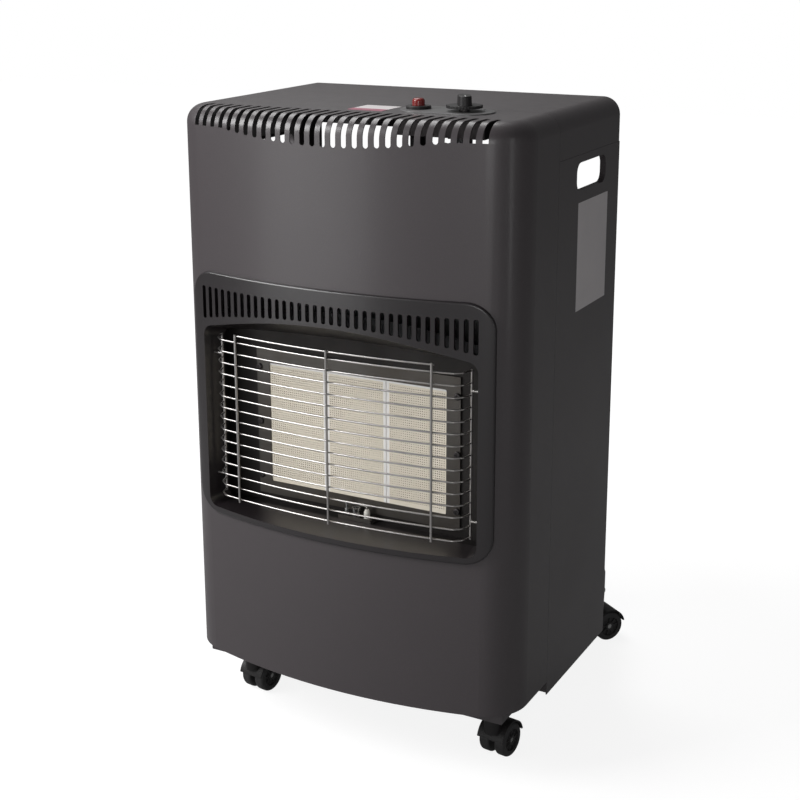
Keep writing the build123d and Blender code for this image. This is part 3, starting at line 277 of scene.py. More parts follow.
def finish(name, colour, tone, roughness, grain, bump, clouds, contrast=1.2, metallic=0.0,
           specular=0.5, coat=0.0, dust=0.0, fleck=0.0, fleck_colour=None):
    """A material: colour drifts to tone in soft clouds, with grain, bump, flecks and dust."""
    material, tree, shader = new_material(name)
    shader["Metallic"].default_value = metallic
    shader["Coat Weight"].default_value = coat
    shader["Coat Roughness"].default_value = coat_roughness
    shader["Specular IOR Level"].default_value = specular
    cloudy = group_node(tree, cloud_group, Scale=clouds, Contrast=contrast)["Mask"]
    grainy = group_node(tree, grain_group, Scale=grain)
    base = blend_colour(tree, cloudy, colour, tone)
    if fleck:
        flecked = math_node(tree, "MULTIPLY", grainy["Fleck"], fleck)
        base = blend_colour(tree, flecked, base, fleck_colour)
    if dust:
        dusty = group_node(tree, dust_group, Amount=dust)["Mask"]
        base = blend_colour(tree, dusty, base, dust_colour)
    feed(tree, base, shader["Base Color"])
    rough_and_raised(tree, shader, roughness, cloudy, grainy["Height"], bump)
    return material


def overlay(material, mask, colour):
    """Lays a second colour over a finish wherever a mask is 1."""
    tree = material.node_tree
    base = tree.nodes["Principled BSDF"].inputs["Base Color"]
    feed(tree, blend_colour(tree, mask, base.links[0].from_socket, colour), base)


def dress(material, *names):
    """Gives CAD nodes a material; their meshes are not touched."""
    for name in names:
        part = nodes[name]
        if not part.material_slots:
            part.data.materials.append(material)
        for slot in part.material_slots:
            slot.material = material
    print(material.name, "on", len(names), "CAD nodes")


def named(beginning):
    """The CAD nodes whose names begin in one way."""
    return [name for name in nodes if name.startswith(beginning)]


# %% [markdown]
# ## The cabinet's paint
# The sheet is stamped, welded and then powder coated in a charcoal grey with a faint warm cast. Powder
# coat isn't smooth: it has a fine pebble that spreads highlights softly. That calls for a middling
# roughness and a very small bump, not for a gloss. The top gathers a little dust.

# %% Charcoal powder coat
charcoal = finish(
    "Charcoal powder coat", (0.0555, 0.0475, 0.0512), (0.0475, 0.0405, 0.0438),
    roughness=(0.38, 0.46), grain=1400.0, bump=0.00006, clouds=5.0, coat=0.25, dust=0.08,
    fleck=0.10, fleck_colour=(0.14, 0.13, 0.132))
dress(charcoal, "front_panel", "top_cover", "side_panel_left", "side_panel_right", "base_tray")

# %% [markdown]
# ## The bezel's enamel
# The bezel stands in the burner's heat, so it is coated in a black heat-resistant enamel, smoother than
# the cabinet. A thin clear coat over a satin base gives the narrow highlights along its rim and ribs.
# The sheet box behind it is darkened by the heat.

# %% Black enamel and darkened sheet
enamel = finish(
    "Black heat enamel", (0.0150, 0.0118, 0.0134), (0.0105, 0.0083, 0.0095),
    roughness=(0.34, 0.42), grain=1800.0, bump=0.00003, clouds=12.0, coat=0.35)
sooty = finish(
    "Heat darkened sheet", (0.030, 0.027, 0.026), (0.018, 0.016, 0.015),
    roughness=(0.40, 0.55), grain=900.0, bump=0.00003, clouds=16.0, contrast=2.0, metallic=0.6)
dress(enamel, "burner_bezel")
dress(sooty, "burner_housing")

# %% [markdown]
# ## Sheet steel and fittings inside
# Behind the bezel the sheet is bare. Aluminised sheet round the burner takes a straw and brown tint from
# the heat; galvanised sheet farther back keeps its spangle, the crystals that zinc freezes in. The
# spangle is a Voronoi pattern, because its cells look like those crystals. What shows through the slots
# in the top edge is blackened, so that it stays dark there.

# %% Metal helper: brushed and tinted bare metal
metal_clouds, metal_contrast = 14.0, 2.0
line_strength, line_shade = 0.35, 0.55
crystal_strength, crystal_light = 0.4, 1.5


def bare_metal(name, colour, tone, roughness, across, spangle=0.0, bump=0.00002):
    """Bare metal with lines along the axis whose number is smallest, and optional zinc crystals."""
    material, tree, shader = new_material(name)
    shader["Metallic"].default_value = 1.0
    cloudy = group_node(tree, cloud_group, Scale=metal_clouds, Contrast=metal_contrast)["Mask"]
    across_x, across_y, across_z = across
    line = group_node(
        tree, line_group, Across_X=across_x, Across_Y=across_y, Across_Z=across_z)["Line"]
    base = blend_colour(tree, cloudy, colour, tone)
    lined = math_node(tree, "MULTIPLY", line, line_strength)
    base = blend_colour(tree, lined, base, tuple(c * line_shade for c in colour))
    if spangle:
        crystals = tree.nodes.new("ShaderNodeTexVoronoi")
        crystals.inputs["Scale"].default_value = spangle
        feed(tree, object_place(tree), crystals.inputs["Vector"])
        grey = tree.nodes.new("ShaderNodeSeparateColor")
        feed(tree, crystals.outputs["Color"], grey.inputs[0])
        faded = math_node(tree, "MULTIPLY", grey.outputs[0], crystal_strength)
        base = blend_colour(tree, faded, base, tuple(min(1.0, c * crystal_light) for c in colour))
    feed(tree, base, shader["Base Color"])
    rough_and_raised(tree, shader, roughness, line, line, bump)
    return material


# %% Bare and plated metals
along_nothing = (900.0, 900.0, 900.0)      # short scratches that run no particular way
along_z = (500.0, 500.0, 60.0)             # the long lines of drawn tube
aluminised = bare_metal(
    "Heat tinted steel", (0.13, 0.126, 0.12), (0.09, 0.077, 0.066),
    roughness=(0.32, 0.48), across=(20.0, 300.0, 400.0))
galvanised = bare_metal(
    "Galvanised sheet", (0.48, 0.49, 0.50), (0.40, 0.41, 0.42),
    roughness=(0.35, 0.5), across=(250.0, 250.0, 30.0), spangle=160.0)
brass = bare_metal(
    "Turned brass", (0.62, 0.45, 0.18), (0.50, 0.35, 0.13),
    roughness=(0.22, 0.38), across=along_nothing)
drawn = bare_metal(
    "Drawn aluminium tube", (0.66, 0.66, 0.66), (0.56, 0.56, 0.55),
    roughness=(0.28, 0.4), across=along_z)
copper = bare_metal(
    "Copper capillary", (0.62, 0.30, 0.17), (0.45, 0.21, 0.12),
    roughness=(0.3, 0.45), across=along_z)
die_cast = bare_metal(
    "Die cast body", (0.42, 0.42, 0.43), (0.35, 0.35, 0.36),
    roughness=(0.45, 0.6), across=along_nothing, bump=0.00008)
blackened = bare_metal(
    "Blackened steel", (0.085, 0.079, 0.080), (0.060, 0.055, 0.056),
    roughness=(0.40, 0.55), across=along_nothing)
zinc = bare_metal(
    "Zinc plate", (0.52, 0.52, 0.52), (0.42, 0.42, 0.41),
    roughness=(0.2, 0.35), across=along_nothing)
chrome_wire = bare_metal(
    "Bright plated wire", (0.50, 0.485, 0.48), (0.41, 0.39, 0.375),
    roughness=(0.26, 0.38), across=(30.0, 900.0, 900.0))

# %% Where the metals go
dress(aluminised, "burner_plenum", "plaque_frame", "mixing_tubes", "pilot_bracket")
dress(galvanised, "divider_panel", "burner_brackets", "injector_rail")
dress(brass, "gas_injectors", "hose_nozzle", "pipe_nuts")
dress(blackened, "sheet_screws", "spindle_collar", "valve_bracket")
dress(drawn, "gas_pipe_left", "gas_pipe_centre", "gas_pipe_right", "pilot_tube")
dress(copper, "thermocouple_lead")
dress(die_cast, "gas_valve")
dress(zinc, "valve_spindle", "pilot_burner", "thermocouple", *named("caster_pin"))
dress(chrome_wire, "wire_guard")

# %% [markdown]
# ## Plastics and small finishes
# The knob, igniter barrel and caster hoods are black moulded plastic with a fine spark-eroded texture.
# The button's cap is glossy red. The ignition lead wears a red silicone sleeve, and the plaques sit in
# a white fibre gasket.

# %% Plastics
black_plastic = finish(
    "Black moulded plastic", (0.013, 0.0115, 0.012), (0.010, 0.009, 0.0095),
    roughness=(0.42, 0.55), grain=2600.0, bump=0.00004, clouds=30.0, specular=0.35, dust=0.04)
wheel_nylon = finish(
    "Wheel nylon", (0.026, 0.025, 0.026), (0.018, 0.017, 0.018),
    roughness=(0.45, 0.6), grain=1500.0, bump=0.00005, clouds=40.0, dust=0.05,
    fleck=0.25, fleck_colour=(0.07, 0.068, 0.065))
red_cap = finish(
    "Red gloss cap", (0.21, 0.013, 0.012), (0.16, 0.009, 0.008),
    roughness=(0.20, 0.30), grain=700.0, bump=0.00001, clouds=50.0, coat=0.25)
red_sleeve = finish(
    "Red silicone sleeve", (0.36, 0.035, 0.025), (0.30, 0.025, 0.02),
    roughness=(0.5, 0.62), grain=1200.0, bump=0.00004, clouds=60.0)
dress(black_plastic, "control_knob", "igniter_body", "igniter_collar", "caster_sockets",
      *named("caster_hood"))
dress(wheel_nylon, *named("caster_wheel"))
dress(red_cap, "igniter_button")
dress(red_sleeve, "ignition_lead")

# %% Fibre, foil and the dial's plate
fibre = finish(
    "White ceramic fibre", (0.60, 0.58, 0.53), (0.48, 0.46, 0.42),
    roughness=(0.85, 0.95), grain=1100.0, bump=0.0004, clouds=40.0, contrast=2.0)
label_foil = finish(
    "Grey label foil", (0.72, 0.68, 0.69), (0.64, 0.61, 0.62),
    roughness=(0.36, 0.46), grain=900.0, bump=0.00001, clouds=25.0)
satin_plate = finish(
    "Satin silver plate", (0.155, 0.153, 0.155), (0.13, 0.128, 0.13),
    roughness=(0.3, 0.4), grain=1500.0, bump=0.00001, clouds=20.0, metallic=0.3, dust=0.1)
dress(fibre, "plaque_gasket")
dress(label_foil, "rating_label")
dress(satin_plate, "dial_plate")

# %% [markdown]
# ## The electrode: two materials on one solid
# The spark electrode is a white glazed ceramic with a steel rod sealed in its end. Both are one solid
# here, so the material chooses between glaze and steel by height: everything above the ceramic's
# shoulder is metal.

# %% Glazed ceramic with its steel rod
rod_length = 0.0048
electrode = finish(
    "Glazed electrode", (0.78, 0.76, 0.72), (0.70, 0.67, 0.62),
    roughness=(0.15, 0.25), grain=800.0, bump=0.00001, clouds=60.0)
tree = electrode.node_tree
rod_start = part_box("spark_electrode")[1].z - rod_length
is_rod = math_node(tree, "GREATER_THAN", one_axis(tree, object_place(tree), "Z"), rod_start)
overlay(electrode, is_rod, (0.55, 0.53, 0.5))
feed(tree, is_rod, tree.nodes["Principled BSDF"].inputs["Metallic"])
dress(electrode, "spark_electrode")

# %% [markdown]
# ## The ceramic plaques
# Each plaque is a cream block pierced by more than a thousand fine flame ports, with a plain margin
# that the frame clamps. The ports could be painted on, but up close a painted hole has no depth.
# Here one small cell with a real port is made, and Geometry Nodes set a copy on every point of a grid.
# The block round them is plain mesh, and merging by distance closes the seams between cell and block.

# %% Flame port cell
port_pitch = 0.00265
port_columns = 26
port_rows = 51
port_radius = 0.00068
port_depth = 0.0016
port_taper = 0.9


def outward_mesh(name, shape, inside_out=None):
    """Turns a bmesh into a mesh whose faces look outward; an open shape brings its own test."""
    bmesh.ops.recalc_face_normals(shape, faces=shape.faces)
    if inside_out and inside_out(shape.faces):
        bmesh.ops.reverse_faces(shape, faces=shape.faces)
    mesh = bpy.data.meshes.new(name)
    shape.to_mesh(mesh)
    shape.free()
    return mesh


def port_cell():
    """A square of the plaque's face with an eight-sided blind port, facing -Y."""
    grid = bmesh.new()
    half = port_pitch / 2
    square = [(half, -half), (half, 0), (half, half), (0, half),
              (-half, half), (-half, 0), (-half, -half), (0, -half)]
    turns = [math.atan2(z, x) for x, z in square]
    outer = [grid.verts.new((x, 0, z)) for x, z in square]
    rim = [grid.verts.new((port_radius * math.cos(t), 0, port_radius * math.sin(t))) for t in turns]
    foot = [grid.verts.new((v.co.x * port_taper, port_depth, v.co.z * port_taper)) for v in rim]
    for i in range(len(square)):
        j = (i + 1) % len(square)
        grid.faces.new((outer[i], outer[j], rim[j], rim[i]))
        grid.faces.new((rim[i], rim[j], foot[j], foot[i]))
    grid.faces.new(foot)

    def faces_back(faces):
        return sum(f.normal.y * f.calc_area() for f in faces) > 0

    return outward_mesh("port_cell", grid, faces_back)


cell = bpy.data.objects.new("port_cell", port_cell())
print("port cell:", len(cell.data.polygons), "faces")

# %% Block round the ports
edge_softness = 0.0006


def plaque_block(low, high):
    """The plaque's block, open where the ports go, its front edge softened like the fired original."""
    middle = (low + high) / 2
    block = bmesh.new()

    def ring(xs, zs, y):
        """Vertices round a rectangle, with the corner order kept, one per coordinate."""
        bottom = [(x, zs[0]) for x in xs]
        right = [(xs[-1], z) for z in zs[1:]]
        top = [(x, zs[-1]) for x in reversed(xs[:-1])]
        left = [(xs[0], z) for z in reversed(zs[1:-1])]
        return [block.verts.new((x, y, z)) for x, z in bottom + right + top + left]

    def field(centre, cells):
        """Coordinates along the ports' field, two for each cell."""
        half = cells * port_pitch / 2
        return [centre - half + half * 2 * i / (2 * cells) for i in range(2 * cells + 1)]

    def spread(values, a, b):
        """The same coordinates stretched between two new limits."""
        return [a + (v - values[0]) / (values[-1] - values[0]) * (b - a) for v in values]

    def margin_ring(inset, y):
        """The field's ring stretched to the block's edge, less an inset."""
        return ring(spread(field_x, low.x + inset, high.x - inset),
                    spread(field_z, low.z + inset, high.z - inset), y)

    field_x, field_z = field(middle.x, port_columns), field(middle.z, port_rows)
    rings = [
        ring(field_x, field_z, low.y),
        margin_ring(edge_softness, low.y),
        margin_ring(0.0, low.y + edge_softness),
        margin_ring(0.0, high.y),
    ]
    for inner, outer in zip(rings, rings[1:]):
        for i in range(len(inner)):
            j = (i + 1) % len(inner)
            block.faces.new((inner[i], inner[j], outer[j], outer[i]))
    block.faces.new(rings[-1])

    def faces_in(faces):
        return sum((f.calc_center_median() - middle).dot(f.normal) * f.calc_area() for f in faces) < 0

    return outward_mesh("plaque_block", block, faces_in)


# %% [markdown]
# ### The node tree that sets the ports
# A mesh grid of points, turned upright, carries one cell on each point. Its inputs are the pitch and the
# counts, so the same tree serves all three plaques.

# %% Geometry Nodes helpers


def node_recipe(name, inputs):
    """A Geometry Nodes tree with the named inputs (name, kind, default); gives also its two ends."""
    tree = bpy.data.node_groups.new(name, "GeometryNodeTree")
    tree.interface.new_socket("Geometry", in_out="INPUT", socket_type="NodeSocketGeometry")
    for key, kind, value in inputs:
        socket = tree.interface.new_socket(key, in_out="INPUT", socket_type="NodeSocket" + kind)
        if value is not None:
            socket.default_value = value
    tree.interface.new_socket("Geometry", in_out="OUTPUT", socket_type="NodeSocketGeometry")
    start, end = tree.nodes.new("NodeGroupInput"), tree.nodes.new("NodeGroupOutput")
    return tree, start.outputs, end.inputs


def step(tree, kind, **inputs):
    """Adds a node and feeds the inputs named, with _ for a space; gives the node."""
    node = tree.nodes.new(kind)
    for key, value in inputs.items():
        feed(tree, value, node.inputs[key.replace("_", " ")])
    return node


def real_copies(tree, points, model, **turned):
    """A copy of an object on every point, made real."""
    shape = step(tree, "GeometryNodeObjectInfo", Object=model).outputs["Geometry"]
    copies = step(tree, "GeometryNodeInstanceOnPoints", Points=points, Instance=shape, **turned)
    real = step(tree, "GeometryNodeRealizeInstances", Geometry=copies.outputs["Instances"])
    return real.outputs["Geometry"]


def stand(name, mesh, body):
    """Puts a mesh in the scene as a piece that rides on a body."""
    piece = bpy.data.objects.new(name, mesh)
    bpy.context.scene.collection.objects.link(piece)
    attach(piece, body)
    print(name, len(mesh.polygons), "faces")
    return piece


def cook(name, mesh, recipe, values, body):
    """Runs a recipe on a mesh, keeps the plain result and lets it ride on a body."""
    seed = bpy.data.objects.new(name + "_seed", mesh)
    bpy.context.scene.collection.objects.link(seed)
    modifier = seed.modifiers.new(name, "NODES")
    modifier.node_group = recipe
    for item in recipe.interface.items_tree:
        if item.in_out == "INPUT" and item.name in values:
            modifier[item.identifier] = values[item.name]
    graph = bpy.context.evaluated_depsgraph_get()
    plain = bpy.data.meshes.new_from_object(seed.evaluated_get(graph))
    plain.name = name
    seed.modifiers.remove(modifier)
    bpy.data.objects.remove(seed)
    return stand(name, plain, body)


# %% Recipe: ports on a grid
seam = 0.00002
port_recipe, given, result = node_recipe("Flame ports", [
    ("Cell", "Object", None), ("Columns", "Int", port_columns), ("Rows", "Int", port_rows),
    ("Pitch", "Float", port_pitch), ("Centre", "Vector", (0.0, 0.0, 0.0)),
    ("Finish", "Material", None)])
points = port_recipe.nodes.new("GeometryNodeMeshGrid")
for count, size, side in (("Columns", "Size X", "Vertices X"), ("Rows", "Size Y", "Vertices Y")):
    gaps = math_node(port_recipe, "SUBTRACT", given[count], 1.0)
    feed(port_recipe, math_node(port_recipe, "MULTIPLY", gaps, given["Pitch"]), points.inputs[size])
    feed(port_recipe, given[count], points.inputs[side])
upright = step(port_recipe, "GeometryNodeTransform",
               Geometry=points.outputs["Mesh"], Translation=given["Centre"])
upright.inputs["Rotation"].default_value = (math.radians(90), 0.0, 0.0)
ports = real_copies(port_recipe, upright.outputs["Geometry"], given["Cell"])
joined = step(port_recipe, "GeometryNodeJoinGeometry", Geometry=given["Geometry"])
feed(port_recipe, ports, joined.inputs["Geometry"])
sewn = step(port_recipe, "GeometryNodeMergeByDistance",
            Geometry=joined.outputs["Geometry"], Distance=seam)
coloured = step(port_recipe, "GeometryNodeSetMaterial",
                Geometry=sewn.outputs["Geometry"], Material=given["Finish"])
feed(port_recipe, coloured.outputs["Geometry"], result["Geometry"])

# %% [markdown]
# ### Fired ceramic
# Cordierite plaques fire to a warm cream, a little uneven and quite matte. The ports' insides get a
# painted shade from depth: anything behind the face is darkened toward brown, as the shade in a port
# would be. White sealing paste covers the joints between the plaques and their top edge, so it is laid
# on by distance from those lines.

# %% Ceramic material
paste_half_width = 0.0036
paste_on_top = 0.0046
ceramic = finish(
    "Fired cream ceramic", (0.88, 0.815, 0.69), (0.83, 0.76, 0.635),
    roughness=(0.8, 0.9), grain=1500.0, bump=0.00008, clouds=45.0, contrast=2.2)
tree = ceramic.node_tree
where = object_place(tree)
face_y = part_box("plaque_centre")[0].y
# Painted shade: anything behind the plaque's face is darkened toward brown, for the shade inside the
# ports.
overlay(ceramic, ramp(tree, one_axis(tree, where, "Y"), face_y, face_y + port_depth),
        (0.22, 0.17, 0.11))
joint_x = (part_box("plaque_centre")[1].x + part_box("plaque_right")[0].x) / 2
off_middle = math_node(tree, "ABSOLUTE", one_axis(tree, where, "X"))
off_joint = math_node(tree, "ABSOLUTE", math_node(tree, "SUBTRACT", off_middle, joint_x))
on_joint = math_node(tree, "LESS_THAN", off_joint, paste_half_width)
top_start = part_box("plaque_centre")[1].z - paste_on_top
on_top = math_node(tree, "GREATER_THAN", one_axis(tree, where, "Z"), top_start)
overlay(ceramic, math_node(tree, "MAXIMUM", on_joint, on_top), (0.90, 0.88, 0.86))

# %% Pierced plaques
for side in ("left", "centre", "right"):
    low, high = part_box("plaque_" + side)
    middle = (low + high) / 2
    values = {"Cell": cell, "Columns": port_columns, "Rows": port_rows, "Pitch": port_pitch,
              "Centre": (middle.x, low.y, middle.z), "Finish": ceramic}
    plaque = cook("pierced_plaque_" + side, plaque_block(low, high), port_recipe, values,
                  "cabinet")
    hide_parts("plaque_" + side)

# %% [markdown]
# ## Marks on the dial
# The dial plate shows the knob's positions: a dot for off, then an arc and three figures for the heat
# levels. Such marks are printed, so each is a very thin raised shape. Figures come from a text object
# turned into a mesh; the arc and the dot are drawn with bmesh, because a ring sector has no primitive
# of its own. Angles are in degrees, with 90 towards the back.

# %% Inks and drawing helpers
plate_low, plate_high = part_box("dial_plate")
knob_low, knob_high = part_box("control_knob")
knob_x, knob_y = (knob_low.x + knob_high.x) / 2, (knob_low.y + knob_high.y) / 2
print_z = plate_high.z
print_t = 0.00008
mark_ink = finish(
    "Dark mark ink", (0.018, 0.018, 0.018), (0.024, 0.023, 0.023),
    roughness=(0.45, 0.55), grain=1500.0, bump=0.0, clouds=80.0)
white_ink = finish(
    "White mark ink", (0.62, 0.62, 0.61), (0.55, 0.55, 0.54),
    roughness=(0.45, 0.55), grain=1500.0, bump=0.0, clouds=80.0)


def polar(radius, angle, centre=(knob_x, knob_y)):
    """The point at a radius and angle (in radians) round the knob's axis or another centre."""
    return centre[0] + radius * math.cos(angle), centre[1] + radius * math.sin(angle)


def prism(outline, low_z, high_z, shape=None):
    """Adds a flat printed shape, closed all round, to a bmesh."""
    shape = shape or bmesh.new()
    bottom = [shape.verts.new((x, y, low_z)) for x, y in outline]
    top = [shape.verts.new((x, y, high_z)) for x, y in outline]
    shape.faces.new(top)
    shape.faces.new(list(reversed(bottom)))
    for i in range(len(outline)):
        j = (i + 1) % len(outline)
        shape.faces.new((bottom[i], bottom[j], top[j], top[i]))
    return shape


def sector(radius, width, begin, stop, steps=24):
    """Outline of part of a ring round the knob."""
    angles = [math.radians(begin + (stop - begin) * i / steps) for i in range(steps + 1)]
    return [polar(radius + width, a) for a in angles] + [polar(radius, a) for a in reversed(angles)]


def dot(angle, radius, size, sides=16):
    """Outline of a round dot beside the knob."""
    centre = polar(radius, math.radians(angle))
    return [polar(size, 2 * math.pi * i / sides, centre) for i in range(sides)]


def settle(name, shape, material, body):
    """Turns a bmesh into a piece that rides on a body."""
    mesh = outward_mesh(name, shape)
    mesh.materials.append(material)
    return stand(name, mesh, body)


# %% Arc and dot
mark_radius = 0.0206
arc_width = 0.0012
arc_begin, arc_stop = -75, 60
off_angle, dot_size = 120, 0.0013
marks = prism(sector(mark_radius, arc_width, arc_begin, arc_stop), print_z, print_z + print_t)
prism(dot(off_angle, mark_radius + arc_width / 2, dot_size), print_z, print_z + print_t, marks)
settle("dial_marks", marks, mark_ink, "cabinet")

# %% Figures
figure_radius = 0.0246
figure_size = 0.0058


def figure(text, angle):
    """One figure as a thin mesh, standing on the dial plate at an angle round the knob."""
    curve = bpy.data.curves.new("figure_" + text, "FONT")
    curve.body = text
    curve.size = figure_size
    curve.align_x = "CENTER"
    curve.align_y = "CENTER"
    curve.extrude = print_t / 2
    holder = bpy.data.objects.new("figure", curve)
    bpy.context.scene.collection.objects.link(holder)
    graph = bpy.context.evaluated_depsgraph_get()
    mesh = bpy.data.meshes.new_from_object(holder.evaluated_get(graph))
    bpy.data.objects.remove(holder)
    place = Vector((*polar(figure_radius, math.radians(angle)), print_z + print_t / 2))
    for v in mesh.vertices:
        v.co += place
    return mesh


figures = bmesh.new()
for text, angle in (("1", -70), ("2", -8), ("3", 55)):
    figures.from_mesh(figure(text, angle))
bmesh.ops.remove_doubles(figures, verts=figures.verts, dist=0.000005)
settle("dial_figures", figures, mark_ink, "cabinet")

# %% [markdown]
# ## The knob's grip and pointer
# A knob's skirt has short ribs for the fingers and its bar carries a white line that points at the
# figures. The ribs repeat round a circle, so Geometry Nodes place them: a rib on each point of a mesh
# circle, turned to face outward.

# %% Rib mesh


def rib_mesh(depth, width, height):
    """A small rounded rib standing on its foot, pointing along +X."""
    outline = [(-depth, -width / 2), (depth * 0.4, -width / 2), (depth, -width / 5),
               (depth, width / 5), (depth * 0.4, width / 2), (-depth, width / 2)]
    return outward_mesh("rib", prism(outline, 0.0, height))


# %% Recipe: pieces round a circle
circle_recipe, given, result = node_recipe("Round a circle", [
    ("Piece", "Object", None), ("Count", "Int", 24), ("Radius", "Float", 0.01),
    ("Centre", "Vector", (0.0, 0.0, 0.0)), ("Tilt", "Vector", (0.0, 0.0, 0.0)),
    ("Finish", "Material", None)])
circle = step(circle_recipe, "GeometryNodeMeshCircle",
              Vertices=given["Count"], Radius=given["Radius"])
where = circle_recipe.nodes.new("GeometryNodeInputPosition").outputs[0]
outward = step(circle_recipe, "FunctionNodeAlignEulerToVector", Vector=where)
outward.axis = "X"
outward.pivot_axis = "Z"
ribs = real_copies(circle_recipe, circle.outputs["Mesh"], given["Piece"], Rotation=outward.outputs[0])
placed = step(circle_recipe, "GeometryNodeTransform",
              Geometry=ribs, Translation=given["Centre"], Rotation=given["Tilt"])
coloured = step(circle_recipe, "GeometryNodeSetMaterial",
                Geometry=placed.outputs["Geometry"], Material=given["Finish"])
feed(circle_recipe, coloured.outputs["Geometry"], result["Geometry"])

# %% Ribs round the knob's skirt
knob_rib_count = 36
rib_sunk = 0.0001            # the ribs' feet lie inside the skirt
rib_lift = 0.0002            # and start just above its lower edge
skirt_radius = (knob_high.x - knob_low.x) / 2
knob_rib = bpy.data.objects.new("knob_rib", rib_mesh(depth=0.0004, width=0.0014, height=0.0026))
values = {"Piece": knob_rib, "Count": knob_rib_count, "Radius": skirt_radius - rib_sunk,
          "Centre": (knob_x, knob_y, knob_low.z + rib_lift), "Finish": black_plastic}
cook("knob_ribs", bpy.data.meshes.new("knob_seed"), circle_recipe, values, "knob")

# %% Pointer on the knob's bar
pointer_angle = -60
pointer_begin, pointer_end = 0.0045, 0.0125
pointer_half = 0.0006
pointer_sunk = 0.00002
turn = math.radians(pointer_angle)
bar = Vector((math.cos(turn), math.sin(turn)))
side_way = Vector((-bar.y, bar.x))
corners = ((pointer_begin, -pointer_half), (pointer_end, -pointer_half),
           (pointer_end, pointer_half), (pointer_begin, pointer_half))
line = [Vector((knob_x, knob_y)) + bar * a + side_way * b for a, b in corners]
pointer = prism([(p.x, p.y) for p in line], knob_high.z - pointer_sunk, knob_high.z + print_t)
settle("knob_pointer", pointer, white_ink, "knob")

# %% [markdown]
# ## The casters' wheels
# The twin wheels are moulded with radial ribs in their dished outer faces. The same circle recipe sets
# them: each wheel has its own centre and a tilt that lays the circle across its axle.

# %% Wheel ribs
wheel_rib_count = 9
wheel_rib_radius = 0.0093
dish_offset = 0.0040         # from the wheel's centre to the floor of its dish
joint_of = {j["child"]: j for j in frame["joints"]}
wheel_rib = bpy.data.objects.new("wheel_rib", rib_mesh(depth=0.0036, width=0.0010, height=0.0020))
for body in [b for b in frame["bodies"] if b.startswith("wheel_")]:
    joint = joint_of[body]
    out = Vector(joint["axis"]) * (-1 if body.startswith("wheel_a") else 1)
    values = {"Piece": wheel_rib, "Count": wheel_rib_count, "Radius": wheel_rib_radius,
              "Centre": Vector(joint["pos_m"]) + out * dish_offset,
              "Tilt": Vector(out.to_track_quat("Z", "X").to_euler()), "Finish": wheel_nylon}
    cook("ribs_" + body, bpy.data.meshes.new("wheel_seed"), circle_recipe, values,
         body)

# %% [markdown]
# ## The labels
# The top label is a white foil with a pink lower band. Both fields are bare here. One material does it,
# with the band's edge read from the object's coordinates.

# %% Two-tone foil
band_share = 0.32
label_low, label_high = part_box("top_label")
two_tone = finish(
    "White and pink foil", (0.74, 0.70, 0.70), (0.69, 0.65, 0.65),
    roughness=(0.3, 0.4), grain=900.0, bump=0.00001, clouds=40.0)
tree = two_tone.node_tree
band_edge = label_low.y + band_share * (label_high.y - label_low.y)
in_band = math_node(tree, "LESS_THAN", one_axis(tree, object_place(tree), "Y"), band_edge)
overlay(two_tone, in_band, (0.40, 0.15, 0.20))
dress(two_tone, "top_label")

# %% [markdown]
# ## Floor, light and background
# A studio photograph on white: a pale floor that catches only a faint shadow and five soft boxes. The
# key stands high on the left, the fill low beside it to lay a sheen on the bowed front, one lamp in
# front reaches the plaques, a tall strip on the right edges the rounded corner, and one hangs above. A
# dim even room fills the reflections. The background is white because camera rays see white there, not
# because the lamps are strong.

# %% Floor
floor_half = 6
floor_glow = 0.87            # how white the camera sees the floor under the heater
white_from, white_at = 0.5, 4 / 3      # the floor turns fully white between these distances, in metres
room_tone = 0.11             # what mirroring surfaces see of floor and room


def ray_masks(tree):
    """Two masks: rays that come from the camera, and rays that a glossy or clear surface sends on."""
    ray = tree.nodes.new("ShaderNodeLightPath").outputs
    return ray["Is Camera Ray"], math_node(
        tree, "MAXIMUM", ray["Is Glossy Ray"], ray["Is Transmission Ray"])


floor_mesh = bpy.data.meshes.new("studio_floor")
corners = [(-floor_half, -floor_half, 0), (floor_half, -floor_half, 0),
           (floor_half, floor_half, 0), (-floor_half, floor_half, 0)]
floor_mesh.from_pydata(corners, [], [(0, 1, 2, 3)])
floor = bpy.data.objects.new("studio_floor", floor_mesh)
bpy.context.scene.collection.objects.link(floor)
floor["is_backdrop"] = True
pale, tree, shader = new_material("Pale studio floor")
shader["Base Color"].default_value = (0.22, 0.22, 0.22, 1.0)
shader["Roughness"].default_value = 0.9
shader["Specular IOR Level"].default_value = 0.0
shader["Emission Color"].default_value = (1.0, 1.0, 1.0, 1.0)
away = tree.nodes.new("ShaderNodeVectorMath")
away.operation = "LENGTH"
feed(tree, object_place(tree), away.inputs[0])
outskirts = ramp(tree, away.outputs["Value"], white_from, white_at)
whiteness = math_node(tree, "MULTIPLY_ADD", outskirts, 1.0 - floor_glow, floor_glow)
from_camera, shiny = ray_masks(tree)
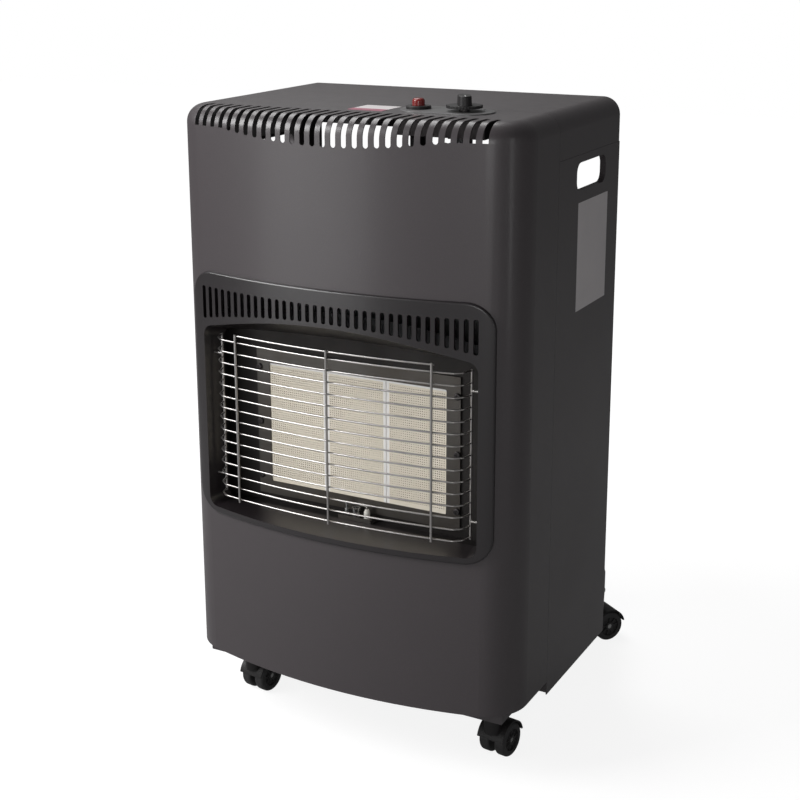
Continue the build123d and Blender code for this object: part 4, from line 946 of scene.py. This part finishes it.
seen = math_node(tree, "MULTIPLY_ADD", shiny, room_tone, from_camera)
feed(tree, math_node(tree, "MULTIPLY", seen, whiteness), shader["Emission Strength"])
floor_mesh.materials.append(pale)

# %% World
ambient = 0.08
world = bpy.data.worlds.new("studio")
bpy.context.scene.world = world
world.use_nodes = True
tree = world.node_tree
sky = tree.nodes["Background"].inputs
sky["Color"].default_value = (1.0, 1.0, 1.0, 1.0)
from_camera, shiny = ray_masks(tree)
seen = math_node(tree, "MULTIPLY_ADD", from_camera, 1.0 - ambient, ambient)
strength = math_node(tree, "MULTIPLY_ADD", shiny, room_tone - ambient, seen)
feed(tree, strength, sky["Strength"])

# %% Lamps


def soft_lamp(name, place, target, width, height, power):
    """A soft box aimed at a point."""
    data = bpy.data.lights.new(name, "AREA")
    data.shape = "RECTANGLE"
    data.size = width
    data.size_y = height
    data.energy = power
    lamp = bpy.data.objects.new(name, data)
    lamp.location = place
    lamp.rotation_euler = (Vector(place) - Vector(target)).to_track_quat("Z", "Y").to_euler()
    bpy.context.scene.collection.objects.link(lamp)
    print("lamp", name, power, "W")


soft_lamp("key", (-1.30, -1.25, 1.60), (0.0, -0.1, 0.5), 1.0, 1.0, 45.0)
soft_lamp("fill", (-1.1, -1.9, 0.45), (0.0, -0.2, 0.6), 1.1, 0.9, 7.0)
soft_lamp("front", (0.90, -2.35, 0.80), (0.0, -0.2, 0.4), 0.8, 0.8, 10.0)
soft_lamp("edge", (2.2, -0.9, 0.60), (0.2, -0.2, 0.5), 0.25, 1.6, 3.0)
soft_lamp("top", (-0.7, 0.5, 2.1), (0.0, 0.0, 0.5), 1.2, 1.2, 21.0)
bpy.context.scene.view_settings.view_transform = "Standard"

# %% [markdown]
# ## Finish
# The visual model must stay the CAD model's size, so its box is held against the CAD model's box and
# how far it has grown is printed.

# %% Size and finish
low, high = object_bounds()
grown_low = [round((a - b) * 1000, 2) for a, b in zip(cad_low, low)]
grown_high = [round((b - a) * 1000, 2) for a, b in zip(cad_high, high)]
print("grown by (mm):", grown_low, grown_high)
